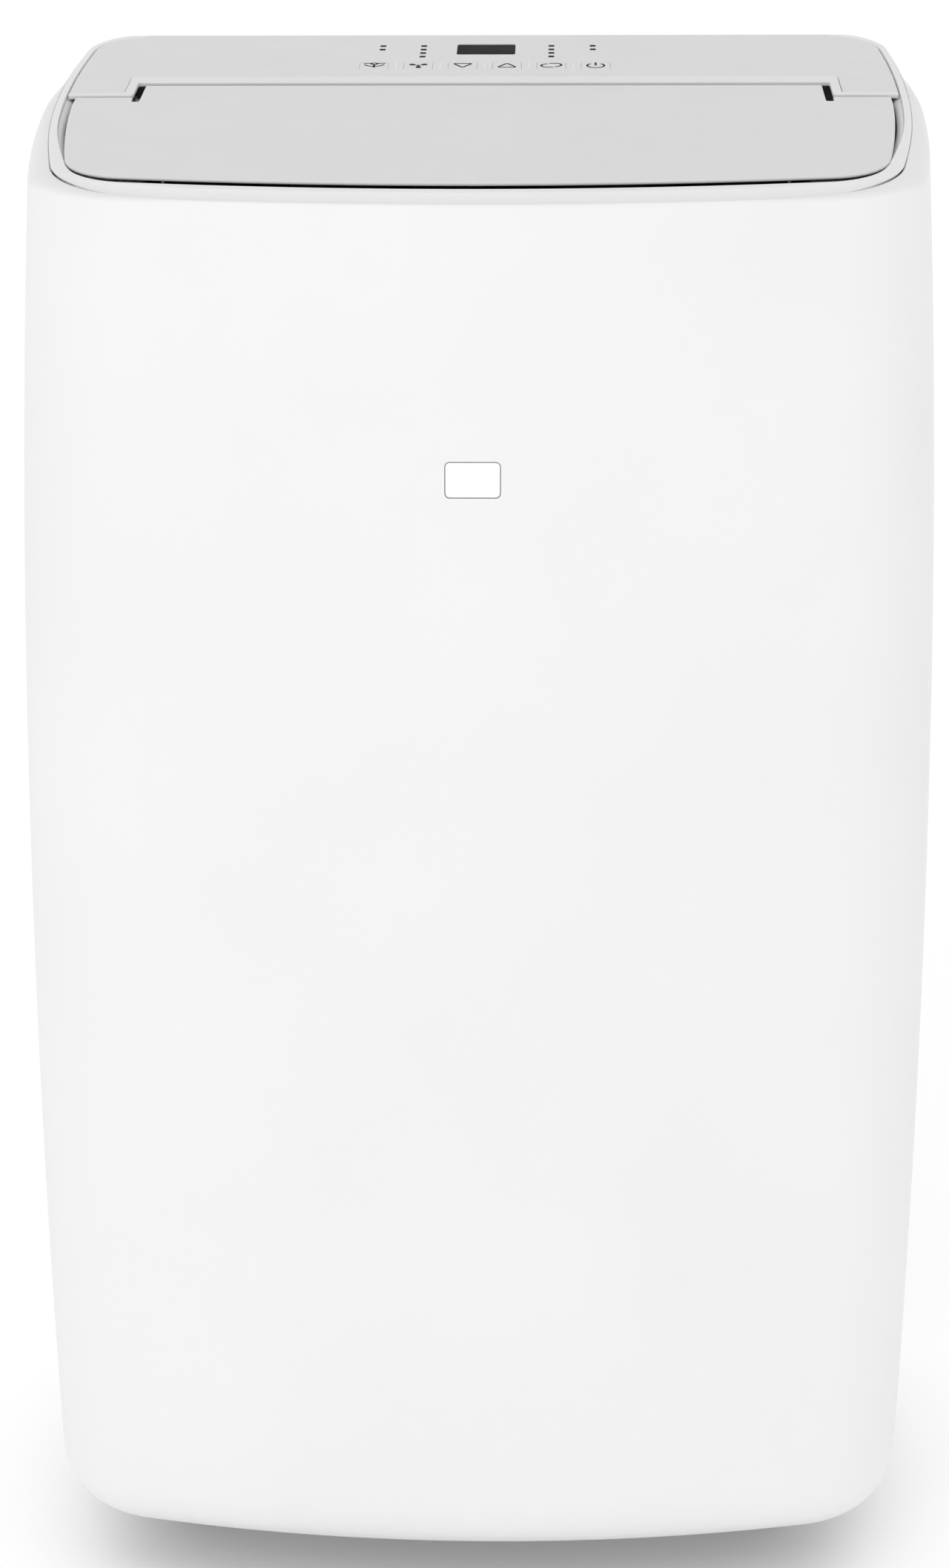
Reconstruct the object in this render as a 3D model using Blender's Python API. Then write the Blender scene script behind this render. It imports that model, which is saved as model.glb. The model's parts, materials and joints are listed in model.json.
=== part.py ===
"""A portable air conditioner on castors, as separate pieces in metres, +Z up.

The origin is on the floor under the middle of the cabinet. The front faces -Y and +X is the
viewer's right. The sloping top is described in its own coordinates: x across, s down the slope
from the crest towards the front, and up square to the slope.
"""

import math

import bmesh
import bpy
from mathutils import Matrix, Vector

# ---------------------------------------------------------------- driving dimensions (metres)
WIDTH = 0.455
DEPTH = 0.390
WALL = 0.003
GAP = 0.0003

# Cabinet shell: a rounded box whose sides and front bow outwards both ways.
BELLY_Z = 0.42
BELLY_REACH_LOW = 0.307
BELLY_REACH_HIGH = 0.271
SIDE_TAPER = 0.0068
SIDE_BOW_RADIUS = 0.81
SIDE_BOW_Y = 0.0075
FACE_TAPER = 0.0050
BOW_RADIUS_FOOT = 0.66
BOW_RADIUS_HEAD = 1.25
FRONT_CORNER = 0.052
REAR_BOW_RADIUS = 3.0
REAR_CORNER = 0.048
SKIRT_Z = 0.030
SKIRT_RISE = 0.0025
FOOT_FILLET = 0.035
FOOT_FILLET_ANGLE = math.radians(65)
SPLIT_Y = -0.020

# Sloping top. The rim line is the seam between the shells' shoulders and the top cover.
SLOPE = math.radians(17.5)
CREST_Y = 0.097
CREST_Z = 0.765
REAR_TOP_FALL = 0.06
SHOULDER_FRONT = 0.0040
SHOULDER_SIDE = 0.0115
SHOULDER_REAR = 0.0330
RIM_HALF_WIDTH = 0.2118
RIM_FRONT_INSET = 0.0011
RIM_CORNER_INSET = 0.0100
RIM_REAR_Y = 0.1035
RIM_REAR_CORNER = 0.0365
RIM_DROP_FRONT = 0.0019
RIM_DROP_SIDE = 0.0008
RIM_DROP_REAR = 0.0030
RIM_EDGE = 0.0012
COVER_GAP = 0.0003
COVE_START = 0.0021
COVE_WIDTH = 0.0088
OPENING_HALF_WIDTH = 0.2080
OPENING_FRONT_INSET = 0.0179
OPENING_CORNER_INSET = 0.0178
OPENING_REAR_CORNER = 0.032
OPENING_REAR_BOW = 40.0
OPENING_LIP = 0.016
OPENING_LIP_THICK = 0.0022

# Control panel and flap, along the slope.
PANEL_HALF_WIDTH = 0.2070
PANEL_FRONT_S = 0.1000
PANEL_THICK = 0.0018
EAR_INNER_X = 0.1740
EAR_FRONT_S = 0.1240
BAR_START_S = 0.0905
BAR_HEIGHT = 0.0010
DISPLAY_SIZE = (0.0305, 0.0220)
DISPLAY_S = 0.0310
KEY_PITCH = 0.0228
KEY_S = 0.0655
KEY_SIZE = (0.0150, 0.0160)
KEY_NAMES = ("key_sleep", "key_fan", "key_down", "key_up", "key_mode", "key_power")
KEY_DEPTH = 0.0040
BOARD_DROP = 0.0062
FLAP_HALF_WIDTH = 0.2035
FLAP_TONGUE_HALF = 0.1700
FLAP_REAR_S = 0.1035
FLAP_SHOULDER_S = 0.1262
FLAP_SLOT_X = 0.1738
FLAP_SLOT_S = 0.1340
FLAP_FRONT_S = 0.2750
FLAP_CORNER = 0.034
FLAP_THICK = 0.0030
HINGE_S = 0.1075
HINGE_DROP = 0.0075
HINGE_PIN_RADIUS = 0.0020
HINGE_ARM_X = 0.1520

# Air outlet.
DUCT_HALF_WIDTH = 0.1560
DUCT_Y = (-0.1480, -0.0180)
DUCT_Z = 0.6120
DUCT_TOP_DROP = 0.0130
VANE_COUNT = 6
VANE_PITCH = 0.050
VANE_PIVOT_Z = 0.6440
VANE_Y = (-0.1410, -0.0250)
VANE_HALF_HEIGHT = 0.0200
VANE_THICK = 0.0016
VANE_CRANK = 0.0165
LINK_Y = (-0.1050, -0.1010)
PIN_RADIUS = 0.0012

# Evaporator side, above the deck.
DECK_Z = (0.4270, 0.4340)
EVAPORATOR_WHEEL = {"x": -0.020, "z": 0.5350, "radius": 0.066, "y": (-0.1160, -0.0640)}
EVAPORATOR_SCROLL = {"low": 0.0710, "high": 0.1000, "y": (-0.1230, -0.0570), "top": DUCT_Z - GAP}
EVAPORATOR_COIL = ((-0.160, 0.060, 0.4380), (0.160, 0.104, 0.6860))

# Condenser side, below the deck.
CONDENSER_WHEEL = {"x": 0.065, "z": 0.2000, "radius": 0.080, "y": (-0.1160, -0.0540)}
CONDENSER_SCROLL = {"low": 0.0860, "high": 0.1160, "y": (-0.1230, -0.0470), "top": 0.3000}
CONDENSER_COIL = ((-0.175, 0.082, 0.0640), (0.175, 0.122, 0.2720))
EXHAUST_X = 0.060
EXHAUST_Z = 0.3550
EXHAUST_RADIUS = 0.0600
EXHAUST_RIM_Y = 0.1945

# Compressor and pipes.
COMPRESSOR_AT = (-0.125, -0.045)
COMPRESSOR_RADIUS = 0.052
COMPRESSOR_Z = (0.0560, 0.2600)
ACCUMULATOR_AT = (-0.172, 0.036)
ACCUMULATOR_RADIUS = 0.020
ACCUMULATOR_Z = (0.1100, 0.2400)
PIPE_RADIUS = 0.0040

# Base and castors.
PAN_Z = (0.0425, 0.0620)
PAN_FLOOR = 0.0040
PLINTH_SIZE = (0.220, 0.110)
PLINTH_Z = 0.0405
CASTOR_PLACES = {"front_left": (-0.156, -0.075), "front_right": (0.156, -0.075),
                 "rear_left": (-0.156, 0.132), "rear_right": (0.156, 0.132)}
CASTOR_RADIUS = 0.0180
CASTOR_WIDTH = 0.0140
CASTOR_TRAIL = 0.0110
CASTOR_FORK_TOP = 0.0415
CASTOR_SIDES = 16

# Rear wall fittings.
UPPER_GRILLE = ((-0.150, 0.4560), (0.150, 0.6860))
LOWER_GRILLE = ((-0.150, 0.0860), (0.150, 0.2700))
GRILLE_Y = (0.1840, 0.1900)
FILTER_Y = (0.1780, 0.1835)
UPPER_DRAIN = (-0.130, 0.3900)
LOWER_DRAIN = (-0.060, 0.0700)
DRAIN_RADIUS = 0.0090
CORD_INLET = (0.180, 0.1300)
CORD_INLET_RADIUS = 0.0070
HANDLE_Y = (-0.008, 0.078)
HANDLE_Z = (0.5550, 0.5950)
HANDLE_DEPTH = 0.0220
HANDLE_RECESS = 0.0034
HANDLE_FLANGE_DEPTH = 0.0170
HANDLE_FLANGE_THICK = 0.0030

# Remote control window in the front, and the wheel that throws condensate.
IR_SIZE = (0.0255, 0.0165)
IR_CORNER = 0.0023
IR_Z = 0.5500
SLINGER_AT = (-0.050, 0.0920)
SLINGER_RADIUS = 0.0260

# Colours (linear) with roughness and metallic.
WHITE_SHELL = ((0.88, 0.88, 0.87), 0.38, 0.0)
GREY_TOP = ((0.66, 0.66, 0.66), 0.36, 0.0)
BLACK_GLOSS = ((0.008, 0.008, 0.009), 0.12, 0.0)
LENS_WHITE = ((0.90, 0.90, 0.90), 0.15, 0.0)
DARK_PLASTIC = ((0.035, 0.035, 0.038), 0.50, 0.0)
DUCT_GREY = ((0.16, 0.16, 0.17), 0.55, 0.0)
ALUMINIUM = ((0.62, 0.63, 0.64), 0.42, 0.9)
COPPER = ((0.62, 0.28, 0.16), 0.32, 1.0)
STEEL = ((0.42, 0.43, 0.45), 0.38, 1.0)
BLACK_STEEL = ((0.020, 0.020, 0.022), 0.42, 0.2)
BOARD_GREEN = ((0.020, 0.100, 0.045), 0.55, 0.0)
FILTER_GREY = ((0.20, 0.21, 0.22), 0.80, 0.0)
RUBBER = ((0.022, 0.022, 0.023), 0.75, 0.0)


# ---------------------------------------------------------------- general helpers
def clear_scene():
    for item in list(bpy.data.objects):
        bpy.data.objects.remove(item, do_unlink=True)


def make_material(name, look):
    colour, roughness, metallic = look
    material = bpy.data.materials.new(name)
    material.use_nodes = True
    shader = material.node_tree.nodes["Principled BSDF"]
    shader.inputs["Base Color"].default_value = (*colour, 1.0)
    shader.inputs["Roughness"].default_value = roughness
    shader.inputs["Metallic"].default_value = metallic
    material.diffuse_color = (*colour, 1.0)
    return material


def add_object(name, mesh, look=None, location=(0.0, 0.0, 0.0), smooth_degrees=40):
    """Puts a mesh into the scene as a named piece, shaded smooth except at real edges."""
    mesh.shade_smooth()
    mesh.set_sharp_from_angle(angle=math.radians(smooth_degrees))
    piece = bpy.data.objects.new(name, mesh)
    bpy.context.scene.collection.objects.link(piece)
    piece.location = location
    if look is not None and not mesh.materials:
        mesh.materials.append(make_material(name, look))
    return piece


def mesh_from_faces(name, points, faces):
    mesh = bpy.data.meshes.new(name)
    mesh.from_pydata([tuple(point) for point in points], [], faces)
    body = bmesh.new()
    body.from_mesh(mesh)
    bmesh.ops.recalc_face_normals(body, faces=body.faces)
    body.to_mesh(mesh)
    body.free()
    return mesh


def prism_mesh(name, outline, axis, low, high):
    """Extrudes a closed outline along X, Y or Z from low to high."""
    place = {"X": lambda a, b, t: (t, a, b),
             "Y": lambda a, b, t: (a, t, b),
             "Z": lambda a, b, t: (a, b, t)}[axis]
    count = len(outline)
    points = [place(a, b, low) for a, b in outline] + [place(a, b, high) for a, b in outline]
    faces = [tuple(range(count)), tuple(range(count, 2 * count))]
    for index in range(count):
        after = (index + 1) % count
        faces.append((index, after, count + after, count + index))
    return mesh_from_faces(name, points, faces)


def box_mesh(name, low, high):
    outline = [(low[0], low[1]), (high[0], low[1]), (high[0], high[1]), (low[0], high[1])]
    return prism_mesh(name, outline, "Z", low[2], high[2])


def circle(centre, radius, sides, turn=0.0):
    step = 2.0 * math.pi / sides
    return [(centre[0] + radius * math.cos(turn + step * index),
             centre[1] + radius * math.sin(turn + step * index)) for index in range(sides)]


def arc(centre, radius, start, end, steps):
    """Points on an arc, both ends included, with angles in radians from +X."""
    points = []
    for index in range(steps + 1):
        angle = start + (end - start) * index / steps
        points.append((centre[0] + radius * math.cos(angle), centre[1] + radius * math.sin(angle)))
    return points


def rounded_rectangle(centre, width, height, radius, steps=4):
    half_w = width / 2.0 - radius
    half_h = height / 2.0 - radius
    points = []
    for quarter, (sign_x, sign_y) in enumerate(((1, 1), (-1, 1), (-1, -1), (1, -1))):
        corner = (centre[0] + sign_x * half_w, centre[1] + sign_y * half_h)
        start = quarter * math.pi / 2.0
        points += arc(corner, radius, start, start + math.pi / 2.0, steps)
    return points


def turned_mesh(name, profile, axis, centre, sides=24):
    """Turns a closed (radius, height) profile about a line along X, Y or Z through centre.

    A profile point with radius zero is a pole. Profiles run round the solid's half-section.
    """
    places = {"X": lambda u, v, t: (t, u, v), "Y": lambda u, v, t: (u, t, v), "Z": lambda u, v, t: (u, v, t)}
    place = places[axis]
    body = bmesh.new()
    rings = []
    for radius, height in profile:
        if radius == 0.0:
            rings.append([body.verts.new(Vector(centre) + Vector(place(0.0, 0.0, height)))])
            continue
        ring = [body.verts.new(Vector(centre) + Vector(place(u, v, height)))
                for u, v in circle((0.0, 0.0), radius, sides, math.pi / sides)]
        rings.append(ring)
    closed = all(radius > 0.0 for radius, _ in profile)
    pairs = list(zip(rings, rings[1:] + rings[:1])) if closed else list(zip(rings, rings[1:]))
    for first, second in pairs:
        for index in range(sides):
            after = (index + 1) % sides
            if len(first) == 1 and len(second) == 1:
                break
            if len(first) == 1:
                body.faces.new((first[0], second[index], second[after]))
            elif len(second) == 1:
                body.faces.new((first[index], first[after], second[0]))
            else:
                body.faces.new((first[index], first[after], second[after], second[index]))
    bmesh.ops.recalc_face_normals(body, faces=body.faces)
    mesh = bpy.data.meshes.new(name)
    body.to_mesh(mesh)
    body.free()
    return mesh


def cylinder_mesh(name, axis, centre, radius, low, high, sides=16):
    """A plain cylinder; centre gives the line, low and high the ends along the axis."""
    profile = [(0.0, low), (radius, low), (radius, high), (0.0, high)]
    flat = list(centre)
    flat["XYZ".index(axis)] = 0.0
    return turned_mesh(name, profile, axis, flat, sides)


def combine(mesh, operation, *others):
    """Returns mesh after an exact Boolean with each of the other meshes in turn."""
    for other in others:
        target = bpy.data.objects.new("boolean_target", mesh)
        tool = bpy.data.objects.new("boolean_tool", other)
        tool.hide_render = True
        tool.display_type = "WIRE"
        for item in (target, tool):
            bpy.context.scene.collection.objects.link(item)
        modifier = target.modifiers.new("boolean", "BOOLEAN")
        modifier.operation = operation
        modifier.solver = "EXACT"
        modifier.object = tool
        graph = bpy.context.evaluated_depsgraph_get()
        name = mesh.name
        mesh.name = "used"
        mesh = bpy.data.meshes.new_from_object(target.evaluated_get(graph))
        mesh.name = name
        for item in (target, tool):
            bpy.data.objects.remove(item, do_unlink=True)
    return mesh


def cut(mesh, *tools):
    return combine(mesh, "DIFFERENCE", *tools)


def join(mesh, *others):
    return combine(mesh, "UNION", *others)


def skin_mesh(name, outer, inner, closed):
    """A thin closed body between two matching grids of points, rows of equal length.

    closed joins the last column to the first, as round a ring.
    """
    rows = len(outer)
    columns = len(outer[0])
    points = [point for row in outer for point in row] + [point for row in inner for point in row]
    offset = rows * columns
    faces = []
    spans = columns if closed else columns - 1
    for row in range(rows - 1):
        for column in range(spans):
            after = (column + 1) % columns
            quad = (row * columns + column, row * columns + after,
                    (row + 1) * columns + after, (row + 1) * columns + column)
            faces.append(quad)
            faces.append(tuple(offset + corner for corner in reversed(quad)))
    for row in (0, rows - 1):
        for column in range(spans):
            after = (column + 1) % columns
            faces.append((row * columns + column, row * columns + after,
                          offset + row * columns + after, offset + row * columns + column))
    if not closed:
        for column in (0, columns - 1):
            for row in range(rows - 1):
                faces.append((row * columns + column, (row + 1) * columns + column,
                              offset + (row + 1) * columns + column, offset + row * columns + column))
    return mesh_from_faces(name, points, faces)


def ring_mesh(name, rows):
    """A body swept round a ring, from rows of points that close on themselves both ways."""
    columns = len(rows[0])
    points = [point for row in rows for point in row]
    faces = []
    for row in range(len(rows)):
        below = (row + 1) % len(rows)
        for column in range(columns):
            after = (column + 1) % columns
            faces.append((row * columns + column, row * columns + after,
                          below * columns + after, below * columns + column))
    return mesh_from_faces(name, points, faces)


def pierced_plate(name, low, high, y_range, rows, columns, frame, bar):
    """A flat plate in the XZ plane with a grid of square windows right through it."""
    def stops(start, end, count, border):
        window = (end - start - 2.0 * border - (count - 1) * bar) / count
        marks = [start, start + border]
        for index in range(count):
            marks.append(marks[-1] + window)
            marks.append(marks[-1] + (bar if index < count - 1 else border))
        return marks

    across = stops(low[0], high[0], columns, frame)
    upward = stops(low[1], high[1], rows, frame)
    points = [(x, y, z) for y in y_range for z in upward for x in across]
    width = len(across)
    layer = width * len(upward)

    def corner(side, row, column):
        return side * layer + row * width + column

    def is_window(row, column):
        inside = 0 <= row < len(upward) - 1 and 0 <= column < width - 1
        return not inside or (row % 2 == 1 and column % 2 == 1)

    faces = []
    for row in range(len(upward) - 1):
        for column in range(width - 1):
            if is_window(row, column):
                continue
            square = [(row, column), (row, column + 1), (row + 1, column + 1), (row + 1, column)]
            faces.append(tuple(corner(0, *spot) for spot in square))
            faces.append(tuple(corner(1, *spot) for spot in reversed(square)))
            neighbours = ((row - 1, column), (row, column + 1), (row + 1, column), (row, column - 1))
            for side, neighbour in enumerate(neighbours):
                if is_window(*neighbour):
                    first = square[side]
                    second = square[(side + 1) % 4]
                    faces.append((corner(0, *first), corner(0, *second),
                                  corner(1, *second), corner(1, *first)))
    return mesh_from_faces(name, points, faces)


# ---------------------------------------------------------------- cabinet surfaces
def half_width_at(z):
    reach = BELLY_REACH_HIGH if z > BELLY_Z else BELLY_REACH_LOW
    return WIDTH / 2.0 - SIDE_TAPER * ((z - BELLY_Z) / reach) ** 2


def face_reach_at(z):
    """How far the front and the rear stand from the middle plane at a height."""
    return DEPTH / 2.0 - FACE_TAPER * ((z - BELLY_Z) / 0.30) ** 2


def bow_radius_at(z):
    share = min(max(z / 0.66, 0.0), 1.0)
    return BOW_RADIUS_FOOT + (BOW_RADIUS_HEAD - BOW_RADIUS_FOOT) * share


def fitted_corner(side_centre, side_radius, face_centre, face_radius, corner):
    """Centre of the corner arc that touches both the side's arc and the face's arc from inside."""
    side = Vector(side_centre)
    between = Vector(face_centre) - side
    side_reach = side_radius - corner
    face_reach = face_radius - corner
    distance = between.length
    along = (side_reach ** 2 - face_reach ** 2 + distance ** 2) / (2.0 * distance)
    across = math.sqrt(side_reach ** 2 - along ** 2)
    direction = between / distance
    middle = side + direction * along
    normal = Vector((-direction.y, direction.x))
    return min(middle + normal * across, middle - normal * across, key=lambda spot: spot.x + spot.y)


def bowed_half(half_width, tip, bow, corner, steps, start_y, side_bow, side_y):
    """Half an outline in plan, from the left side at start_y round the -Y side to the right side.

    The face is an arc of radius bow whose nearest point is y = -tip. Each side is an arc of radius
    side_bow that is widest, at half_width, where y is side_y. Each corner is an arc tangent to both.
    steps counts the spans of a side, a corner and the face.
    """
    side_steps, corner_steps, bow_steps = steps
    side_centre = (side_bow - half_width, side_y)
    face_centre = (0.0, bow - tip)
    corner_at = fitted_corner(side_centre, side_bow, face_centre, bow, corner)
    start = math.pi - math.asin((start_y - side_y) / side_bow)
    side_end = math.pi + math.atan2(side_y - corner_at.y, side_centre[0] - corner_at.x)
    swing = math.atan2(-corner_at.x, face_centre[1] - corner_at.y)
    left = arc(side_centre, side_bow, start, side_end, side_steps)[:-1]
    left += arc(corner_at, corner, side_end, 1.5 * math.pi - swing, corner_steps)[:-1]
    face = arc(face_centre, bow, 1.5 * math.pi - swing, 1.5 * math.pi + swing, bow_steps)
    right = [(-x, y) for x, y in reversed(left)]
    return left + face + right


FRONT_STEPS = (2, 5, 10)
REAR_STEPS = (3, 5, 6)


def front_outline(z, inset=0.0, start_y=SPLIT_Y):
    return bowed_half(half_width_at(z) - inset, face_reach_at(z) - inset, bow_radius_at(z) - inset,
                      FRONT_CORNER - inset, FRONT_STEPS, start_y, SIDE_BOW_RADIUS - inset, SIDE_BOW_Y)


def rear_outline(z, inset=0.0, start_y=SPLIT_Y):
    half = bowed_half(half_width_at(z) - inset, face_reach_at(z) - inset, REAR_BOW_RADIUS - inset,
                      REAR_CORNER - inset, REAR_STEPS, -start_y, SIDE_BOW_RADIUS - inset, -SIDE_BOW_Y)
    return [(-x, -y) for x, y in half]


def rear_line(half_width, tip, corner, start_y=SPLIT_Y):
    """A line of the top in plan behind the split, nearly straight across the back."""
    half = bowed_half(half_width, tip, OPENING_REAR_BOW, corner, REAR_STEPS, -start_y,
                      SIDE_BOW_RADIUS, -SIDE_BOW_Y)
    return [(-x, -y) for x, y in half]


def side_fall(y):
    """How far a side has curved inwards from its widest place."""
    return SIDE_BOW_RADIUS - math.sqrt(SIDE_BOW_RADIUS ** 2 - (y - SIDE_BOW_Y) ** 2)


def foot_inset(height):
    """How far the wall curls inwards at a height above the skirt's edge."""
    centre = FOOT_FILLET * math.sin(FOOT_FILLET_ANGLE)
    below = max(centre - height, 0.0)
    return FOOT_FILLET - math.sqrt(FOOT_FILLET ** 2 - below ** 2)


def skirt_z(x):
    """The skirt's edge rises towards the sides."""
    return SKIRT_Z + SKIRT_RISE * (abs(x) / 0.19) ** 2


def slope_point(x, s, up=0.0):
    return Vector((x, CREST_Y - s * math.cos(SLOPE) - up * math.sin(SLOPE),
                   CREST_Z - s * math.sin(SLOPE) + up * math.cos(SLOPE)))


def top_z(y):
    """Height of the sloping top, which turns level behind the crest."""
    if y <= CREST_Y:
        return CREST_Z - (CREST_Y - y) * math.tan(SLOPE)
    return CREST_Z - (y - CREST_Y) * REAR_TOP_FALL


def eased(value):
    """0 below zero and 1 above one, with a smooth rise between."""
    value = min(max(value, 0.0), 1.0)
    return value * value * (3.0 - 2.0 * value)


def blend_round(y, front, side, rear):
    """A length that differs along the front, the sides and behind the crest."""
    value = front + (side - front) * eased((y + 0.175) / 0.060)
    return value + (rear - side) * eased((y - 0.030) / 0.150)


def shoulder_start(outline_at, index, inset):
    """Where the wall begins to curl over: the highest upright point of one column."""
    x, y = outline_at(0.66, inset)[index]
    for _ in range(6):
        z = top_z(y) - blend_round(y, SHOULDER_FRONT, SHOULDER_SIDE, SHOULDER_REAR)
        x, y = outline_at(z, inset)[index]
    return Vector((x, y, z))


def rim_height(y):
    return top_z(y) - blend_round(y, RIM_DROP_FRONT, RIM_DROP_SIDE, RIM_DROP_REAR)


def ring_inset(body_x, half_width, front, corner, side_x):
    """How far a line of the top lies inside the cabinet's outline, as it passes round the front."""
    inset = front + (corner - front) * eased((abs(body_x) - 0.130) / 0.075)
    return inset + (half_width - side_x - inset) * eased((abs(body_x) - 0.205) / 0.012)


def front_ring(front, corner, side_x):
    """A line of the top in plan, from the left side round the front to the right side."""
    ring = []
    for index, (x, y) in enumerate(front_outline(0.66)):
        for _ in range(6):
            z = top_z(y)
            body_x = front_outline(z)[index][0]
            x, y = front_outline(z, ring_inset(body_x, half_width_at(z), front, corner, side_x))[index]
        ring.append((x, y))
    return ring


def front_rim():
    return front_ring(RIM_FRONT_INSET, RIM_CORNER_INSET, RIM_HALF_WIDTH)


def rear_rim(start_y=SPLIT_Y):
    return rear_line(RIM_HALF_WIDTH, RIM_REAR_Y, RIM_REAR_CORNER, start_y)


def shell_grid(outline_at, rim, inset):
    """Rows of points from the skirt's edge, up the wall and over the shoulder to the rim line."""
    levels = (0.0, 0.005, 0.014, 0.030, 0.10, 0.20, 0.30, 0.40, 0.50, 0.58)
    rows = []
    columns = range(len(outline_at(BELLY_Z)))
    for level in levels:
        row = []
        for index in columns:
            x = outline_at(SKIRT_Z + level, inset)[index][0]
            z = skirt_z(x) + level
            row.append((*outline_at(z, inset + foot_inset(level))[index], z))
        rows.append(row)
    starts = [shoulder_start(outline_at, index, inset) for index in columns]
    ends = []
    for index, (x, y) in enumerate(rim):
        end = Vector((x, y, rim_height(y)))
        if inset:
            start = shoulder_start(outline_at, index, 0.0)
            across = Vector((end.x - start.x, end.y - start.y, 0.0))
            rise = end.z - start.z
            inwards = across.normalized() * rise - Vector((0.0, 0.0, across.length))
            end += inwards.normalized() * RIM_EDGE
        ends.append(end)
    for degrees in (0.0, 35.0, 65.0, 90.0):
        angle = math.radians(degrees)
        over = 1.0 - math.cos(angle)
        rise = math.sin(angle)
        rows.append([(start.x + (end.x - start.x) * over, start.y + (end.y - start.y) * over,
                      start.z + (end.z - start.z) * rise) for start, end in zip(starts, ends)])
    return rows


def make_front_panel():
    mesh = skin_mesh("front_panel", shell_grid(front_outline, front_rim(), 0.0),
                     shell_grid(front_outline, front_rim(), WALL), False)
    window = prism_mesh("tool", rounded_rectangle((0.0, IR_Z), IR_SIZE[0], IR_SIZE[1], IR_CORNER),
                        "Y", -DEPTH, -DEPTH / 4.0)
    return add_object("front_panel", cut(mesh, window), WHITE_SHELL)


def make_ir_window():
    outline = rounded_rectangle((0.0, IR_Z), IR_SIZE[0] - 2 * GAP, IR_SIZE[1] - 2 * GAP, IR_CORNER)
    front = -face_reach_at(IR_Z)
    mesh = prism_mesh("ir_window", outline, "Y", front + 0.0002, front + 0.0050)
    return add_object("ir_window", mesh, LENS_WHITE)


def rear_tools():
    """Everything that is cut through the rear shell."""
    clearance = 0.0008
    reach = (DEPTH / 4.0, DEPTH)
    tools = []
    for low, high in (UPPER_GRILLE, LOWER_GRILLE):
        tools.append(box_mesh("tool", (low[0] - clearance, reach[0], low[1] - clearance),
                              (high[0] + clearance, reach[1], high[1] + clearance)))
    collar_seat = EXHAUST_RADIUS + 0.0108
    tools.append(cylinder_mesh("tool", "Y", (EXHAUST_X, 0.0, EXHAUST_Z), collar_seat, *reach, 32))
    for x, z in (UPPER_DRAIN, LOWER_DRAIN):
        tools.append(cylinder_mesh("tool", "Y", (x, 0.0, z), DRAIN_RADIUS + clearance, *reach, 16))
    tools.append(cylinder_mesh("tool", "Y", (CORD_INLET[0], 0.0, CORD_INLET[1]),
                               CORD_INLET_RADIUS + GAP * 2, *reach, 16))
    for side in (-1.0, 1.0):
        near = side * 0.19
        far = side * 0.26
        tools.append(box_mesh("tool", (min(near, far), HANDLE_Y[0], HANDLE_Z[0]),
                              (max(near, far), HANDLE_Y[1], HANDLE_Z[1])))
    return tools


def grip_flange(side):
    """The block that becomes the turned-in flange round one grip hole, once the hole is cut."""
    outer_x = half_width_at(sum(HANDLE_Z) / 2.0) - HANDLE_RECESS
    near, far = sorted((side * outer_x, side * (outer_x - HANDLE_FLANGE_DEPTH)))
    thick = HANDLE_FLANGE_THICK
    return box_mesh("tool", (near, HANDLE_Y[0] - thick, HANDLE_Z[0] - thick),
                    (far, HANDLE_Y[1] + thick, HANDLE_Z[1] + thick))


def make_rear_housing():
    def outline(z, inset=0.0):
        return rear_outline(z, inset, SPLIT_Y + GAP)

    rim = rear_rim(SPLIT_Y + GAP)
    mesh = skin_mesh("rear_housing", shell_grid(outline, rim, 0.0), shell_grid(outline, rim, WALL), False)
    for side in (-1.0, 1.0):
        mesh = join(mesh, grip_flange(side))
    return add_object("rear_housing", cut(mesh, *rear_tools()), WHITE_SHELL)


def make_handle_cup(name, side):
    """A grip cup in the side wall: a five-sided tray whose mouth follows the wall."""
    outer_x = half_width_at(sum(HANDLE_Z) / 2.0) - HANDLE_RECESS
    low = Vector((outer_x - HANDLE_DEPTH, HANDLE_Y[0] + GAP * 2, HANDLE_Z[0] + GAP * 2))
    high = Vector((outer_x, HANDLE_Y[1] - GAP * 2, HANDLE_Z[1] - GAP * 2))
    mesh = cut(box_mesh(name, low, high),
               box_mesh("tool", low + Vector((0.002, 0.002, 0.002)),
                        high + Vector((0.01, -0.002, -0.002))))
    if side < 0:
        mesh.transform(Matrix.Scale(-1.0, 4, (1.0, 0.0, 0.0)))
        mesh.flip_normals()
    return add_object(name, mesh, DUCT_GREY)


# ---------------------------------------------------------------- top cover, panel and flap
def opening_outline():
    """The big opening of the top cover in plan: bowed front and sides, square-ish rear."""
    front = front_ring(OPENING_FRONT_INSET, OPENING_CORNER_INSET, OPENING_HALF_WIDTH)
    return front + rear_line(OPENING_HALF_WIDTH, CREST_Y, OPENING_REAR_CORNER)[1:-1]


def body_outline(z, inset=0.0):
    return front_outline(z, inset) + rear_outline(z, inset)[1:-1]


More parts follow.
